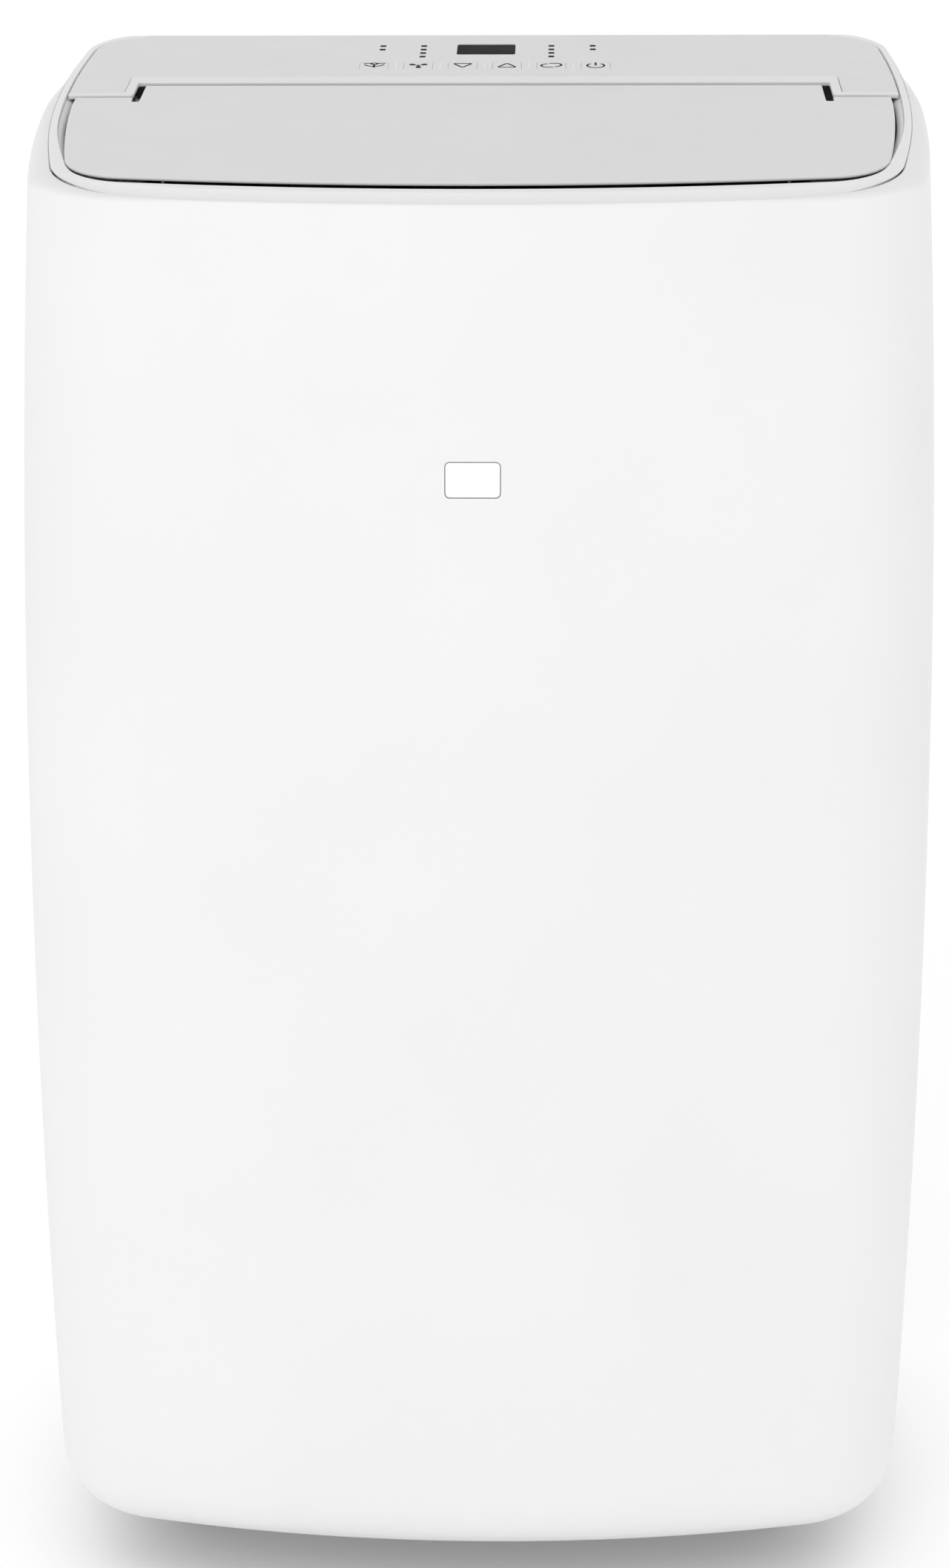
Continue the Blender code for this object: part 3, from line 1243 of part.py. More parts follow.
# ---------------------------------------------------------------- assembly
def main():
    clear_scene()
    make_front_panel()
    make_rear_housing()
    make_top_cover()
    make_control_panel()
    make_flap()
    make_flap_motor()
    make_ir_window()
    make_display_window()
    for index, name in enumerate(KEY_NAMES):
        make_key(name, index)
    make_display_board()
    make_outlet_duct()
    make_vanes()
    make_vane_link()
    make_scroll("evaporator_scroll", EVAPORATOR_WHEEL, EVAPORATOR_SCROLL)
    make_wheel("evaporator_wheel", EVAPORATOR_WHEEL, -0.1330)
    make_fan_motor("evaporator_motor", EVAPORATOR_WHEEL, 0.0380, -0.1740, EVAPORATOR_SCROLL["y"][0] - GAP)
    make_coil("evaporator_coil", EVAPORATOR_COIL, 20)
    make_deck()
    make_scroll("condenser_scroll", CONDENSER_WHEEL, CONDENSER_SCROLL)
    make_wheel("condenser_wheel", CONDENSER_WHEEL, -0.1330)
    make_fan_motor("condenser_motor", CONDENSER_WHEEL, 0.0400, -0.1720, CONDENSER_SCROLL["y"][0] - GAP)
    make_coil("condenser_coil", CONDENSER_COIL, 20)
    make_exhaust_duct()
    make_exhaust_collar()
    make_compressor()
    make_accumulator()
    make_pipes()
    make_control_box()
    make_slinger()
    make_base_pan()
    make_intake("upper", UPPER_GRILLE, 9)
    make_intake("lower", LOWER_GRILLE, 7)
    make_drain_cap("upper_drain_cap", UPPER_DRAIN)
    make_drain_cap("lower_drain_cap", LOWER_DRAIN)
    make_cord_inlet()
    make_handle_cup("left_handle_cup", -1.0)
    make_handle_cup("right_handle_cup", 1.0)
    make_castors()


main()
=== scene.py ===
"""The looks of the portable air conditioner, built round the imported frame.

Every length is in metres in the frame's own axes: the front faces -Y, +X is the viewer's right and
+Z is up. The sloping top has its own coordinates: x across, s down the slope from the crest towards
the front, and up square to the slope.
"""

import json
import math

import bmesh
import bpy
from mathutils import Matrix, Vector


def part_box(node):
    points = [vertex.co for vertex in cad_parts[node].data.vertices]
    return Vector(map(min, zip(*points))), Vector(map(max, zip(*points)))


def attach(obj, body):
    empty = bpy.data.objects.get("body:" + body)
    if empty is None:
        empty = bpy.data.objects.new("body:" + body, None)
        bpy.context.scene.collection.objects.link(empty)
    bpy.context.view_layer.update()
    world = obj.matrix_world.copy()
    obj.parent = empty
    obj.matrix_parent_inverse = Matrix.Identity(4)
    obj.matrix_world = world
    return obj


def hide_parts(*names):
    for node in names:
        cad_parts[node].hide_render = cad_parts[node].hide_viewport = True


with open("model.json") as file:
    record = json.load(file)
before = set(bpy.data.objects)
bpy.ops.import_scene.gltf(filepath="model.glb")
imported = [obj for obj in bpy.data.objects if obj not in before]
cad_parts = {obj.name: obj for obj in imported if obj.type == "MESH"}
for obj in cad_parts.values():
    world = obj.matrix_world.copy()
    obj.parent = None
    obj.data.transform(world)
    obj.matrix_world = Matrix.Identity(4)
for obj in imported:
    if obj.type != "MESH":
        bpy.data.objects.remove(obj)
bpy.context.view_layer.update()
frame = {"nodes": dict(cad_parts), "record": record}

# ---- the cabinet's own dimensions
WIDTH = 0.455
DEPTH = 0.390
WALL = 0.003
BELLY_Z = 0.42
BELLY_REACH_LOW = 0.307
BELLY_REACH_HIGH = 0.271
SIDE_TAPER = 0.0068
SIDE_BOW_RADIUS = 0.81
SIDE_BOW_Y = 0.0075
FACE_TAPER = 0.0050
BOW_RADIUS_FOOT = 0.66
BOW_RADIUS_HEAD = 1.25
FRONT_CORNER = 0.052
REAR_BOW_RADIUS = 3.0
REAR_CORNER = 0.048
SKIRT_Z = 0.030
SKIRT_RISE = 0.0025
FOOT_FILLET = 0.035
FOOT_FILLET_ANGLE = math.radians(65)
SPLIT_Y = -0.020
SPLIT_GAP = 0.0003
FACE_TAPER_REACH = 0.30
HEAD_Z = 0.66
SKIRT_HALF = 0.19

# Sloping top: the shells' shoulders end at the rim line, where the top cover's ring begins.
SLOPE = math.radians(17.5)
CREST_Y = 0.097
CREST_Z = 0.765
REAR_TOP_FALL = 0.06
SHOULDER_FRONT = 0.0040
SHOULDER_SIDE = 0.0115
SHOULDER_REAR = 0.0330
RIM_HALF_WIDTH = 0.2118
RIM_FRONT_INSET = 0.0011
RIM_CORNER_INSET = 0.0100
RIM_REAR_Y = 0.1035
RIM_REAR_CORNER = 0.0365
RIM_DROP_FRONT = 0.0019
RIM_DROP_SIDE = 0.0008
RIM_DROP_REAR = 0.0030
RIM_EDGE = 0.0012
COVER_GAP = 0.0003
COVE_START = 0.0021
COVE_WIDTH = 0.0088
OPENING_HALF_WIDTH = 0.2080
OPENING_FRONT_INSET = 0.0179
OPENING_CORNER_INSET = 0.0178
OPENING_REAR_CORNER = 0.032
REAR_BOW = 40.0
OPENING_LIP = 0.016
OPENING_LIP_THICK = 0.0022
LIP_LEAN = 0.0034
LEDGE = ((0.10, 0.0022), (0.65, 0.0031), (1.0, 0.0044), (1.0, OPENING_LIP))

# Control panel and flap, along the slope.
PANEL_HALF_WIDTH = 0.2070
PANEL_FRONT_S = 0.1000
PANEL_THICK = 0.0018
EAR_INNER_X = 0.1740
EAR_FRONT_S = 0.1240
TRIM_START_S = 0.0892
DISPLAY_SIZE = (0.0305, 0.0220)
DISPLAY_S = 0.0310
KEY_PITCH = 0.0228
KEY_S = 0.0655
KEY_SIZE = (0.0150, 0.0160)
KEY_DEPTH = 0.0040
KEY_GAP = 0.00012
KEY_NAMES = ("key_sleep", "key_fan", "key_down", "key_up", "key_mode", "key_power")
FLAP_HALF_WIDTH = 0.2035
FLAP_TONGUE_HALF = 0.1700
FLAP_REAR_S = 0.1035
FLAP_SHOULDER_S = 0.1262
FLAP_SLOT_X = 0.1738
FLAP_SLOT_S = 0.1340
FLAP_FRONT_S = 0.2750
FLAP_CORNER = 0.034
FLAP_THICK = 0.0016
HINGE_S = 0.1075
HINGE_DROP = 0.0075
HINGE_PIN_RADIUS = 0.0020
HINGE_ARM_X = 0.1520
IR_SIZE = (0.0255, 0.0165)
IR_CORNER = 0.0023
IR_Z = 0.5500

# Rear wall, sides and castors.
EXHAUST_X = 0.060
EXHAUST_Z = 0.3550
EXHAUST_RADIUS = 0.0600
EXHAUST_RIM_Y = 0.1945
DRAIN_RADIUS = 0.0090
UPPER_DRAIN = (-0.130, 0.3900)
LOWER_DRAIN = (-0.060, 0.0700)
CORD_INLET = (0.180, 0.1300)
CORD_INLET_RADIUS = 0.0070
HANDLE_Y = (-0.008, 0.078)
HANDLE_Z = (0.5550, 0.5950)
HANDLE_DEPTH = 0.0220
HANDLE_RECESS = 0.0034
HANDLE_MIDDLE = (sum(HANDLE_Y) / 2.0, sum(HANDLE_Z) / 2.0)
HANDLE_SIZE = (HANDLE_Y[1] - HANDLE_Y[0], HANDLE_Z[1] - HANDLE_Z[0])
CASTOR_PLACES = {"front_left": (-0.156, -0.075), "front_right": (0.156, -0.075),
                 "rear_left": (-0.156, 0.132), "rear_right": (0.156, 0.132)}
CASTOR_RADIUS = 0.0180
CASTOR_WIDTH = 0.0140
CASTOR_TRAIL = 0.0110
CASTOR_FORK_TOP = 0.0415
CASTOR_AXLE_Z = CASTOR_RADIUS * math.cos(math.pi / 16.0)

# Camera: distance, height and side angles, lens and the small shift of the frame.
CAMERA_AIM = Vector((0.0, 0.0, 0.3825))
CAMERA_DISTANCE = 1.6
CAMERA_ELEVATION = math.radians(9.8)
CAMERA_AZIMUTH = math.radians(1.4)
SENSOR = 36.0
LENS = 70.24
SHIFT_X = -0.0055
SHIFT_Y = -0.0070


# ---- materials
def new_material(name, colour, roughness, metallic=0.0):
    """A Principled material; returns it with its node tree and shader node."""
    material = bpy.data.materials.new(name)
    material.use_nodes = True
    tree = material.node_tree
    shader = tree.nodes["Principled BSDF"]
    shader.inputs["Base Color"].default_value = (*colour, 1.0)
    shader.inputs["Roughness"].default_value = roughness
    shader.inputs["Metallic"].default_value = metallic
    return material, tree, shader


def add_node(tree, kind, **settings):
    node = tree.nodes.new(kind)
    for key, value in settings.items():
        if key in node.inputs:
            node.inputs[key].default_value = value
        else:
            setattr(node, key, value)
    return node


def noise(tree, scale, detail=4.0, roughness=0.5, stretch=(1.0, 1.0, 1.0)):
    """Noise in object space, where one unit is a metre; stretch squeezes it along the axes."""
    place = add_node(tree, "ShaderNodeTexCoord")
    mapping = add_node(tree, "ShaderNodeMapping")
    mapping.inputs["Scale"].default_value = stretch
    texture = add_node(tree, "ShaderNodeTexNoise", Scale=scale, Detail=detail, Roughness=roughness)
    tree.links.new(place.outputs["Object"], mapping.inputs["Vector"])
    tree.links.new(mapping.outputs["Vector"], texture.inputs["Vector"])
    return texture.outputs["Fac"]


def tint(tree, shader, source, low, high, start=0.3, end=0.7):
    """Base colour that runs from low to high with the source."""
    ramp = add_node(tree, "ShaderNodeValToRGB")
    for element, position, colour in zip(ramp.color_ramp.elements, (start, end), (low, high)):
        element.position = position
        element.color = (*colour, 1.0)
    tree.links.new(source, ramp.inputs["Fac"])
    tree.links.new(ramp.outputs["Color"], shader.inputs["Base Color"])


def ramp_value(tree, source, target, low, high, start, end):
    """Feeds the target with low to high as the source goes from start to end."""
    spread = add_node(tree, "ShaderNodeMapRange")
    levels = {"From Min": start, "From Max": end, "To Min": low, "To Max": high}
    for key, level in levels.items():
        spread.inputs[key].default_value = level
    tree.links.new(source, spread.inputs["Value"])
    tree.links.new(spread.outputs["Result"], target)


def bump(tree, shader, source, depth, strength):
    """Bump whose full height is depth metres."""
    node = add_node(tree, "ShaderNodeBump", Strength=strength, Distance=depth)
    tree.links.new(source, node.inputs["Height"])
    tree.links.new(node.outputs["Normal"], shader.inputs["Normal"])


def shade(colour, factor, lift=0.0):
    return tuple(min(channel * factor + lift, 1.0) for channel in colour)


def moulded_plastic(name, colour, roughness, grain, depth, variation, coat, specular):
    """Injection-moulded plastic: spark-eroded grain, faint flow clouds and scuffed gloss."""
    material, tree, shader = new_material(name, colour, roughness)
    tint(tree, shader, noise(tree, 9.0, 3.0), shade(colour, 1.0 - variation), shade(colour, 1.0 + variation))
    ramp_value(tree, noise(tree, 46.0, 6.0, 0.6), shader.inputs["Roughness"], roughness * 0.86,
               roughness * 1.18, 0.25, 0.75)
    bump(tree, shader, noise(tree, grain, 2.0, 0.6), depth, 0.35)
    shader.inputs["Coat Weight"].default_value = coat
    shader.inputs["Coat Roughness"].default_value = 0.18
    shader.inputs["Specular IOR Level"].default_value = specular
    return material


def brushed_metal(name, colour, roughness, stretch):
    """Bare or plated metal with fine lines along the direction that stretch leaves long."""
    material, tree, shader = new_material(name, colour, roughness, 1.0)
    lines = noise(tree, 900.0, 3.0, 0.6, stretch)
    ramp_value(tree, lines, shader.inputs["Roughness"], roughness * 0.7, roughness * 1.4, 0.2, 0.8)
    tint(tree, shader, noise(tree, 24.0, 5.0, 0.6), shade(colour, 0.84), shade(colour, 1.06))
    bump(tree, shader, lines, 0.00003, 0.3)
    return material


def painted_steel(name, colour, roughness):
    """Powder coat: orange peel with dust in the hollows."""
    material, tree, shader = new_material(name, colour, roughness)
    dust = noise(tree, 60.0, 8.0, 0.65)
    tint(tree, shader, dust, colour, shade(colour, 1.0, 0.05), 0.45, 0.85)
    ramp_value(tree, dust, shader.inputs["Roughness"], roughness * 0.8, min(roughness * 1.5, 1.0), 0.3, 0.8)
    bump(tree, shader, noise(tree, 700.0, 2.0), 0.00008, 0.5)
    return material


def moulded_rubber(name, colour, roughness):
    """Rubber that has worn paler in places."""
    material, tree, shader = new_material(name, colour, roughness)
    wear = noise(tree, 140.0, 8.0, 0.7)
    tint(tree, shader, wear, colour, shade(colour, 1.0, 0.035), 0.5, 0.8)
    ramp_value(tree, wear, shader.inputs["Roughness"], roughness * 0.8, 0.95, 0.3, 0.8)
    bump(tree, shader, noise(tree, 1800.0, 3.0), 0.00006, 0.6)
    shader.inputs["Specular IOR Level"].default_value = 0.35
    return material


WHITE = (0.815, 0.815, 0.813)
GREY = (0.715, 0.716, 0.718)
# The trim's paler grey: partly its own tone, partly a painted highlight along the ear borders.
LIGHT_GREY = (0.760, 0.761, 0.762)

MATERIALS = {}

# Every plastic: its name, base colour, roughness, grain per metre, grain depth and variation.
PLASTICS = {
    "white": ("white_shell", WHITE, 0.42, 2600.0, 0.00004, 0.012),
    "grey": ("grey_top", GREY, 0.40, 2600.0, 0.00004, 0.012),
    # The duct's near-black is partly its own dark plastic and partly painted shade, darkened so the gap in
    # front of the flap reads as deep shadow.
    "duct": ("duct_plastic", (0.036, 0.037, 0.039), 0.55, 1500.0, 0.00006, 0.06),
    "dark": ("dark_plastic", (0.030, 0.030, 0.032), 0.48, 1500.0, 0.00006, 0.08),
    "key": ("key_plastic", GREY, 0.40, 2600.0, 0.00004, 0.012),
    "trim": ("panel_trim", LIGHT_GREY, 0.36, 2600.0, 0.00004, 0.012),
    "ink": ("printed_ink", (0.014, 0.014, 0.016), 0.60, 3000.0, 0.00001, 0.10),
    # The key dividers' pale colour is a painted highlight: the light that catches the thin ridges between
    # the keys.
    "pale_ink": ("pale_print", (0.86, 0.86, 0.86), 0.50, 3000.0, 0.00001, 0.02),
    "glass": ("display_black", (0.004, 0.004, 0.005), 0.45, 400.0, 0.00001, 0.10),
    "lens": ("receiver_lens", (0.90, 0.90, 0.905), 0.14, 300.0, 0.00001, 0.01),
    "board": ("board_green", (0.020, 0.100, 0.045), 0.45, 900.0, 0.00008, 0.12),
    "case": ("control_case", (0.26, 0.262, 0.27), 0.52, 1500.0, 0.00006, 0.05),
    "filter": ("filter_frame", (0.120, 0.124, 0.130), 0.60, 1500.0, 0.00006, 0.06),
}
# Clear coat and specular level of the few that differ from the rest.
COATS = {"lens": 0.8, "board": 0.3}
SPECULARS = {"ink": 0.05, "glass": 0.03}


def make_materials():
    for key, values in PLASTICS.items():
        MATERIALS[key] = moulded_plastic(*values, COATS.get(key, 0.0), SPECULARS.get(key, 0.5))
    MATERIALS["fins"] = brushed_metal("coil_fins", (0.62, 0.63, 0.64), 0.38, (1.0, 1.0, 0.05))
    MATERIALS["steel"] = brushed_metal("motor_steel", (0.46, 0.47, 0.49), 0.34, (1.0, 0.06, 1.0))
    MATERIALS["copper"] = brushed_metal("copper_pipe", (0.66, 0.30, 0.17), 0.28, (1.0, 1.0, 0.1))
    MATERIALS["black_steel"] = painted_steel("black_steel", (0.020, 0.020, 0.022), 0.42)
    MATERIALS["rubber"] = moulded_rubber("rubber", (0.024, 0.024, 0.026), 0.70)


# The slot of every material; a CAD node gets the first material that is listed for its slot.
SLOTS = {
    "white": "white_shell", "grey": "grey_top", "glass": "display_black", "lens": "receiver_lens",
    "duct": "grey_plastic", "dark": "dark_plastic", "case": "control_case", "steel": "motor_steel",
    "fins": "coil_fins", "copper": "copper_pipe", "black_steel": "black_steel", "board": "board",
    "filter": "filter_mesh", "rubber": "rubber", "key": "grey_top", "trim": "grey_top",
    "ink": "display_black", "pale_ink": "white_shell",
}


def material_of_slot(slot):
    return next(MATERIALS[key] for key, name in SLOTS.items() if name == slot)


# ---- mesh helpers
SHARP_ANGLE = math.radians(35)


def mesh_of(name, points, faces):
    """A mesh from points and faces, with its normals out."""
    mesh = bpy.data.meshes.new(name)
    mesh.from_pydata([tuple(point) for point in points], [], faces)
    working = bmesh.new()
    working.from_mesh(mesh)
    bmesh.ops.recalc_face_normals(working, faces=working.faces)
    working.to_mesh(mesh)
    working.free()
    return mesh


def place_mesh(name, mesh, material, body, replaced=(), flat_caps=True):
    """Makes an object from a mesh with its material, ties it to its body and hides the nodes it replaces.

    flat_caps keeps the mesh's many-sided faces from shading as if they were curved.
    """
    mesh.shade_smooth()
    mesh.set_sharp_from_angle(angle=SHARP_ANGLE)
    for polygon in mesh.polygons:
        if flat_caps and polygon.loop_total > 4:
            polygon.use_smooth = False
    mesh.materials.clear()
    mesh.materials.append(MATERIALS[material])
    piece = bpy.data.objects.new(name, mesh)
    bpy.context.scene.collection.objects.link(piece)
    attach(piece, body)
    if replaced:
        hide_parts(*replaced)


def finish_mesh(name, points, faces, material, body, replaced=()):
    place_mesh(name, mesh_of(name, points, faces), material, body, replaced)


def arc(centre, radius, start, end, steps):
    points = []
    for index in range(steps + 1):
        angle = start + (end - start) * index / steps
        points.append((centre[0] + radius * math.cos(angle), centre[1] + radius * math.sin(angle)))
    return points


def circle(centre, radius, sides):
    return arc(centre, radius, 0.0, 2.0 * math.pi, sides)[:-1]


def rounded_rectangle(centre, width, height, radius, steps=6):
    half_w = width / 2.0 - radius
    half_h = height / 2.0 - radius
    points = []
    for quarter, (sign_x, sign_y) in enumerate(((1, 1), (-1, 1), (-1, -1), (1, -1))):
        corner = (centre[0] + sign_x * half_w, centre[1] + sign_y * half_h)
        start = quarter * math.pi / 2.0
        points += arc(corner, radius, start, start + math.pi / 2.0, steps)
    return points


def inner_rectangle(centre, size, inset, radius, steps=6):
    """A rounded rectangle that lies inside the given size, or outside it for a negative inset."""
    return rounded_rectangle(centre, size[0] - 2 * inset, size[1] - 2 * inset, radius, steps)


def tube_faces(rows, columns, closed_rows, closed_columns):
    """Quads between neighbouring points of a grid stored row by row."""
    faces = []
    for row in range(rows if closed_rows else rows - 1):
        for column in range(columns if closed_columns else columns - 1):
            below = (row + 1) % rows
            after = (column + 1) % columns
            faces.append((row * columns + column, row * columns + after,
                          below * columns + after, below * columns + column))
    return faces


def end_caps(rows, columns):
    """The first and the last row of a grid, each as one face."""
    return [tuple(range(columns)), tuple(range((rows - 1) * columns, rows * columns))]


def outline_normals(outline):
    """Outward normals of an anticlockwise outline's points."""
    normals = []
    for index in range(len(outline)):
        along = Vector(outline[(index + 1) % len(outline)]) - Vector(outline[index - 1])
        normals.append(Vector((along.y, -along.x)).normalized())
    return normals


def prism(outline, place, low, high, bevel=0.0, steps=3):
    """Points and faces of an anticlockwise outline extruded by place(a, b, height).

    A bevel rounds the rims of both ends by moving the outline's points along their own normals.
    """
    profile = [(low, 0.0), (high, 0.0)]
    if bevel:
        turns = [math.pi / 2.0 * step / steps for step in range(steps + 1)]
        rim = [(bevel * (1.0 - math.sin(turn)), bevel * (1.0 - math.cos(turn))) for turn in turns]
        profile = [(low + rise, inset) for rise, inset in reversed(rim)]
        profile += [(high - rise, inset) for rise, inset in rim]
    normals = outline_normals(outline)
    points = []
    for height, inset in profile:
        points += [place(a - normal.x * inset, b - normal.y * inset, height)
                   for (a, b), normal in zip(outline, normals)]
    rows = len(profile)
    return points, tube_faces(rows, len(outline), False, True) + end_caps(rows, len(outline))


def along_x(a, b, t):
    return t, a, b


def along_y(a, b, t):
    return a, t, b


def along_z(a, b, t):
    return a, b, t


def rectangle(low_a, high_a, low_b, high_b):
    return [(low_a, low_b), (high_a, low_b), (high_a, high_b), (low_a, high_b)]


def rod(radius, low, high):
    """The (radius, height) profile of a plain rod."""
    return [(0.0, low), (radius, low), (radius, high), (0.0, high)]


def box_parts(low, high):
    """Points and faces of a box, for joining many small boxes into one mesh."""
    xs, ys, zs = zip(low, high)
    points = [(x, y, z) for z in zs for y in ys for x in xs]
    faces = [(0, 2, 3, 1), (4, 5, 7, 6), (0, 1, 5, 4), (2, 6, 7, 3), (0, 4, 6, 2), (1, 3, 7, 5)]
    return points, faces


def gather(parts):
    """Joins (points, faces) pairs into one pair."""
    points = []
    faces = []
    for part_points, part_faces in parts:
        start = len(points)
        points += list(part_points)
        faces += [tuple(start + corner for corner in face) for face in part_faces]
    return points, faces


def node_box(node):
    """The lowest and the highest corner of a CAD node's box."""
    return [Vector(corner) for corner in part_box(node)]


def node_face(node):
    """Centre and size of a CAD node as seen from behind, in (x, z)."""
    low, high = node_box(node)
    return ((low.x + high.x) / 2.0, (low.z + high.z) / 2.0), (high.x - low.x, high.z - low.z)


def cut_mesh(mesh, tools):
    """The mesh after exact Boolean cuts by the tool meshes."""
    for tool in tools:
        target = bpy.data.objects.new("target", mesh)
        cutter = bpy.data.objects.new("cutter", tool)
        for item in (target, cutter):
            bpy.context.scene.collection.objects.link(item)
        modifier = target.modifiers.new("cut", "BOOLEAN")
        modifier.operation = "DIFFERENCE"
        modifier.solver = "EXACT"
        modifier.object = cutter
        graph = bpy.context.evaluated_depsgraph_get()
        mesh = bpy.data.meshes.new_from_object(target.evaluated_get(graph))
        for item in (target, cutter):
            bpy.data.objects.remove(item, do_unlink=True)
    return mesh


# ---- cabinet surfaces
EDGE_STEPS = 3
EDGE_ROUND = 0.0008
SIDE_STEPS = 12
CORNER_STEPS = 16
FACE_STEPS = 44
HALF_COLUMNS = 2 * SIDE_STEPS + 2 * CORNER_STEPS + FACE_STEPS + 1
FOOT_STEPS = 12
WALL_STEPS = 24
SHOULDER_STEPS = 12


def half_width_at(z):
    reach = BELLY_REACH_HIGH if z > BELLY_Z else BELLY_REACH_LOW
    return WIDTH / 2.0 - SIDE_TAPER * ((z - BELLY_Z) / reach) ** 2


def face_reach_at(z):
    return DEPTH / 2.0 - FACE_TAPER * ((z - BELLY_Z) / FACE_TAPER_REACH) ** 2


def bow_radius_at(z):
    share = min(max(z / HEAD_Z, 0.0), 1.0)
    return BOW_RADIUS_FOOT + (BOW_RADIUS_HEAD - BOW_RADIUS_FOOT) * share


def fitted_corner(side_centre, side_radius, face_centre, face_radius, corner):
    """Centre of the corner arc that touches both the side's arc and the face's arc from inside."""
    side = Vector(side_centre)
    between = Vector(face_centre) - side
    side_reach = side_radius - corner
    face_reach = face_radius - corner
    distance = between.length
    along = (side_reach ** 2 - face_reach ** 2 + distance ** 2) / (2.0 * distance)
    across = math.sqrt(side_reach ** 2 - along ** 2)
    direction = between / distance
    middle = side + direction * along
    normal = Vector((-direction.y, direction.x))
    return min(middle + normal * across, middle - normal * across, key=lambda spot: spot.x + spot.y)


def half_point(column, half_width, tip, bow, corner, start_y, side_bow, side_y):
    """One column's point on half an outline that bows towards -Y: side, corner, face, and back.

    The side is widest where y is side_y. The first columns stand close together, so that the edge
    at the split can be rounded.
    """
    if column > HALF_COLUMNS // 2:
        twin = HALF_COLUMNS - 1 - column
        x, y = half_point(twin, half_width, tip, bow, corner, start_y, side_bow, side_y)
        return -x, y
    side_centre = (side_bow - half_width, side_y)
    face_y = bow - tip
    corner_at = fitted_corner(side_centre, side_bow, (0.0, face_y), bow, corner)
    side_end = math.pi + math.atan2(side_y - corner_at.y, side_centre[0] - corner_at.x)
    swing = math.atan2(-corner_at.x, face_y - corner_at.y)
    if column < SIDE_STEPS:
        y = start_y - EDGE_ROUND * (1.0 - math.cos(math.pi / 2.0 * min(column / EDGE_STEPS, 1.0)))
        end_y = side_y + side_bow * math.sin(side_end)
        y += (end_y - y) * max((column - EDGE_STEPS) / (SIDE_STEPS - EDGE_STEPS), 0.0)
        return side_centre[0] - math.sqrt(side_bow ** 2 - (y - side_y) ** 2), y
    if column < SIDE_STEPS + CORNER_STEPS:
        share = (column - SIDE_STEPS) / CORNER_STEPS
        angle = side_end + (1.5 * math.pi - swing - side_end) * share
        return corner_at.x + corner * math.cos(angle), corner_at.y + corner * math.sin(angle)
    share = (column - SIDE_STEPS - CORNER_STEPS) / (FACE_STEPS / 2.0)
    angle = 1.5 * math.pi - swing * (1.0 - share)
    return bow * math.cos(angle), face_y + bow * math.sin(angle)


def front_point(column, z, inset):
    return half_point(column, half_width_at(z) - inset, face_reach_at(z) - inset,
                      bow_radius_at(z) - inset, FRONT_CORNER - inset, SPLIT_Y,
                      SIDE_BOW_RADIUS - inset, SIDE_BOW_Y)


def rear_point(column, z, inset):
    x, y = half_point(column, half_width_at(z) - inset, face_reach_at(z) - inset,
                      REAR_BOW_RADIUS - inset, REAR_CORNER - inset, -SPLIT_Y - SPLIT_GAP,
                      SIDE_BOW_RADIUS - inset, -SIDE_BOW_Y)
    return -x, -y


def side_fall(y):
    """How far a side has curved inwards from its widest place."""
    return SIDE_BOW_RADIUS - math.sqrt(SIDE_BOW_RADIUS ** 2 - (y - SIDE_BOW_Y) ** 2)


def foot_inset(height):
    centre = FOOT_FILLET * math.sin(FOOT_FILLET_ANGLE)
    below = max(centre - height, 0.0)
    return FOOT_FILLET - math.sqrt(FOOT_FILLET ** 2 - below ** 2)


def skirt_z(x):
    return SKIRT_Z + SKIRT_RISE * (abs(x) / SKIRT_HALF) ** 2


def slope_point(x, s, up=0.0):
    return Vector((x, CREST_Y - s * math.cos(SLOPE) - up * math.sin(SLOPE),
                   CREST_Z - s * math.sin(SLOPE) + up * math.cos(SLOPE)))


def top_z(y):
    if y <= CREST_Y:
        return CREST_Z - (CREST_Y - y) * math.tan(SLOPE)
    return CREST_Z - (y - CREST_Y) * REAR_TOP_FALL


# Where a smooth blend starts and how long it is, along Y for the rounding and along X for the ring.
FRONT_BLEND = (-0.175, 0.060)
REAR_BLEND = (0.030, 0.150)
CORNER_BLEND = (0.130, 0.075)
SIDE_BLEND = (0.205, 0.012)
COVE_BLEND = (0.006, 0.008)


def eased(value, start, length):
    """0 before the start and 1 after the length, with a smooth rise between."""
    share = min(max((value - start) / length, 0.0), 1.0)
    return share * share * (3.0 - 2.0 * share)


def blend_round(y, front, side, rear):
    """A length that differs along the front, the sides and behind the crest."""
    value = front + (side - front) * eased(y, *FRONT_BLEND)
    return value + (rear - side) * eased(y, *REAR_BLEND)


def rim_height(y):
    return top_z(y) - blend_round(y, RIM_DROP_FRONT, RIM_DROP_SIDE, RIM_DROP_REAR)


def shoulder_start(point_at, column, inset):
    """Where the wall begins to curl over: the highest upright point of one column."""
    x, y = point_at(column, HEAD_Z, inset)
    for _ in range(6):
        z = top_z(y) - blend_round(y, SHOULDER_FRONT, SHOULDER_SIDE, SHOULDER_REAR)
        x, y = point_at(column, z, inset)
    return Vector((x, y, z))


def ring_inset(body_x, half_width, front, corner, side_x):
    """How far a line of the top lies inside the cabinet's outline, as it passes round the front."""
    inset = front + (corner - front) * eased(abs(body_x), *CORNER_BLEND)
    return inset + (half_width - side_x - inset) * eased(abs(body_x), *SIDE_BLEND)


def front_ring(front, corner, side_x):
    """A line of the top in plan, from the left side round the front to the right side."""
    ring = []
    for column in range(HALF_COLUMNS):
        x, y = front_point(column, HEAD_Z, 0.0)
        for _ in range(6):
            z = top_z(y)
            body_x = front_point(column, z, 0.0)[0]
            x, y = front_point(column, z, ring_inset(body_x, half_width_at(z), front, corner, side_x))
        ring.append((x, y))
    return ring


def rear_ring(half_width, tip, corner):
    """The same behind the split, from the right side round the back to the left side."""
    ring = []
    for column in range(HALF_COLUMNS):
        x, y = half_point(column, half_width, tip, REAR_BOW, corner, -SPLIT_Y - SPLIT_GAP,
                          SIDE_BOW_RADIUS, -SIDE_BOW_Y)
        ring.append((-x, -y))
    return ring


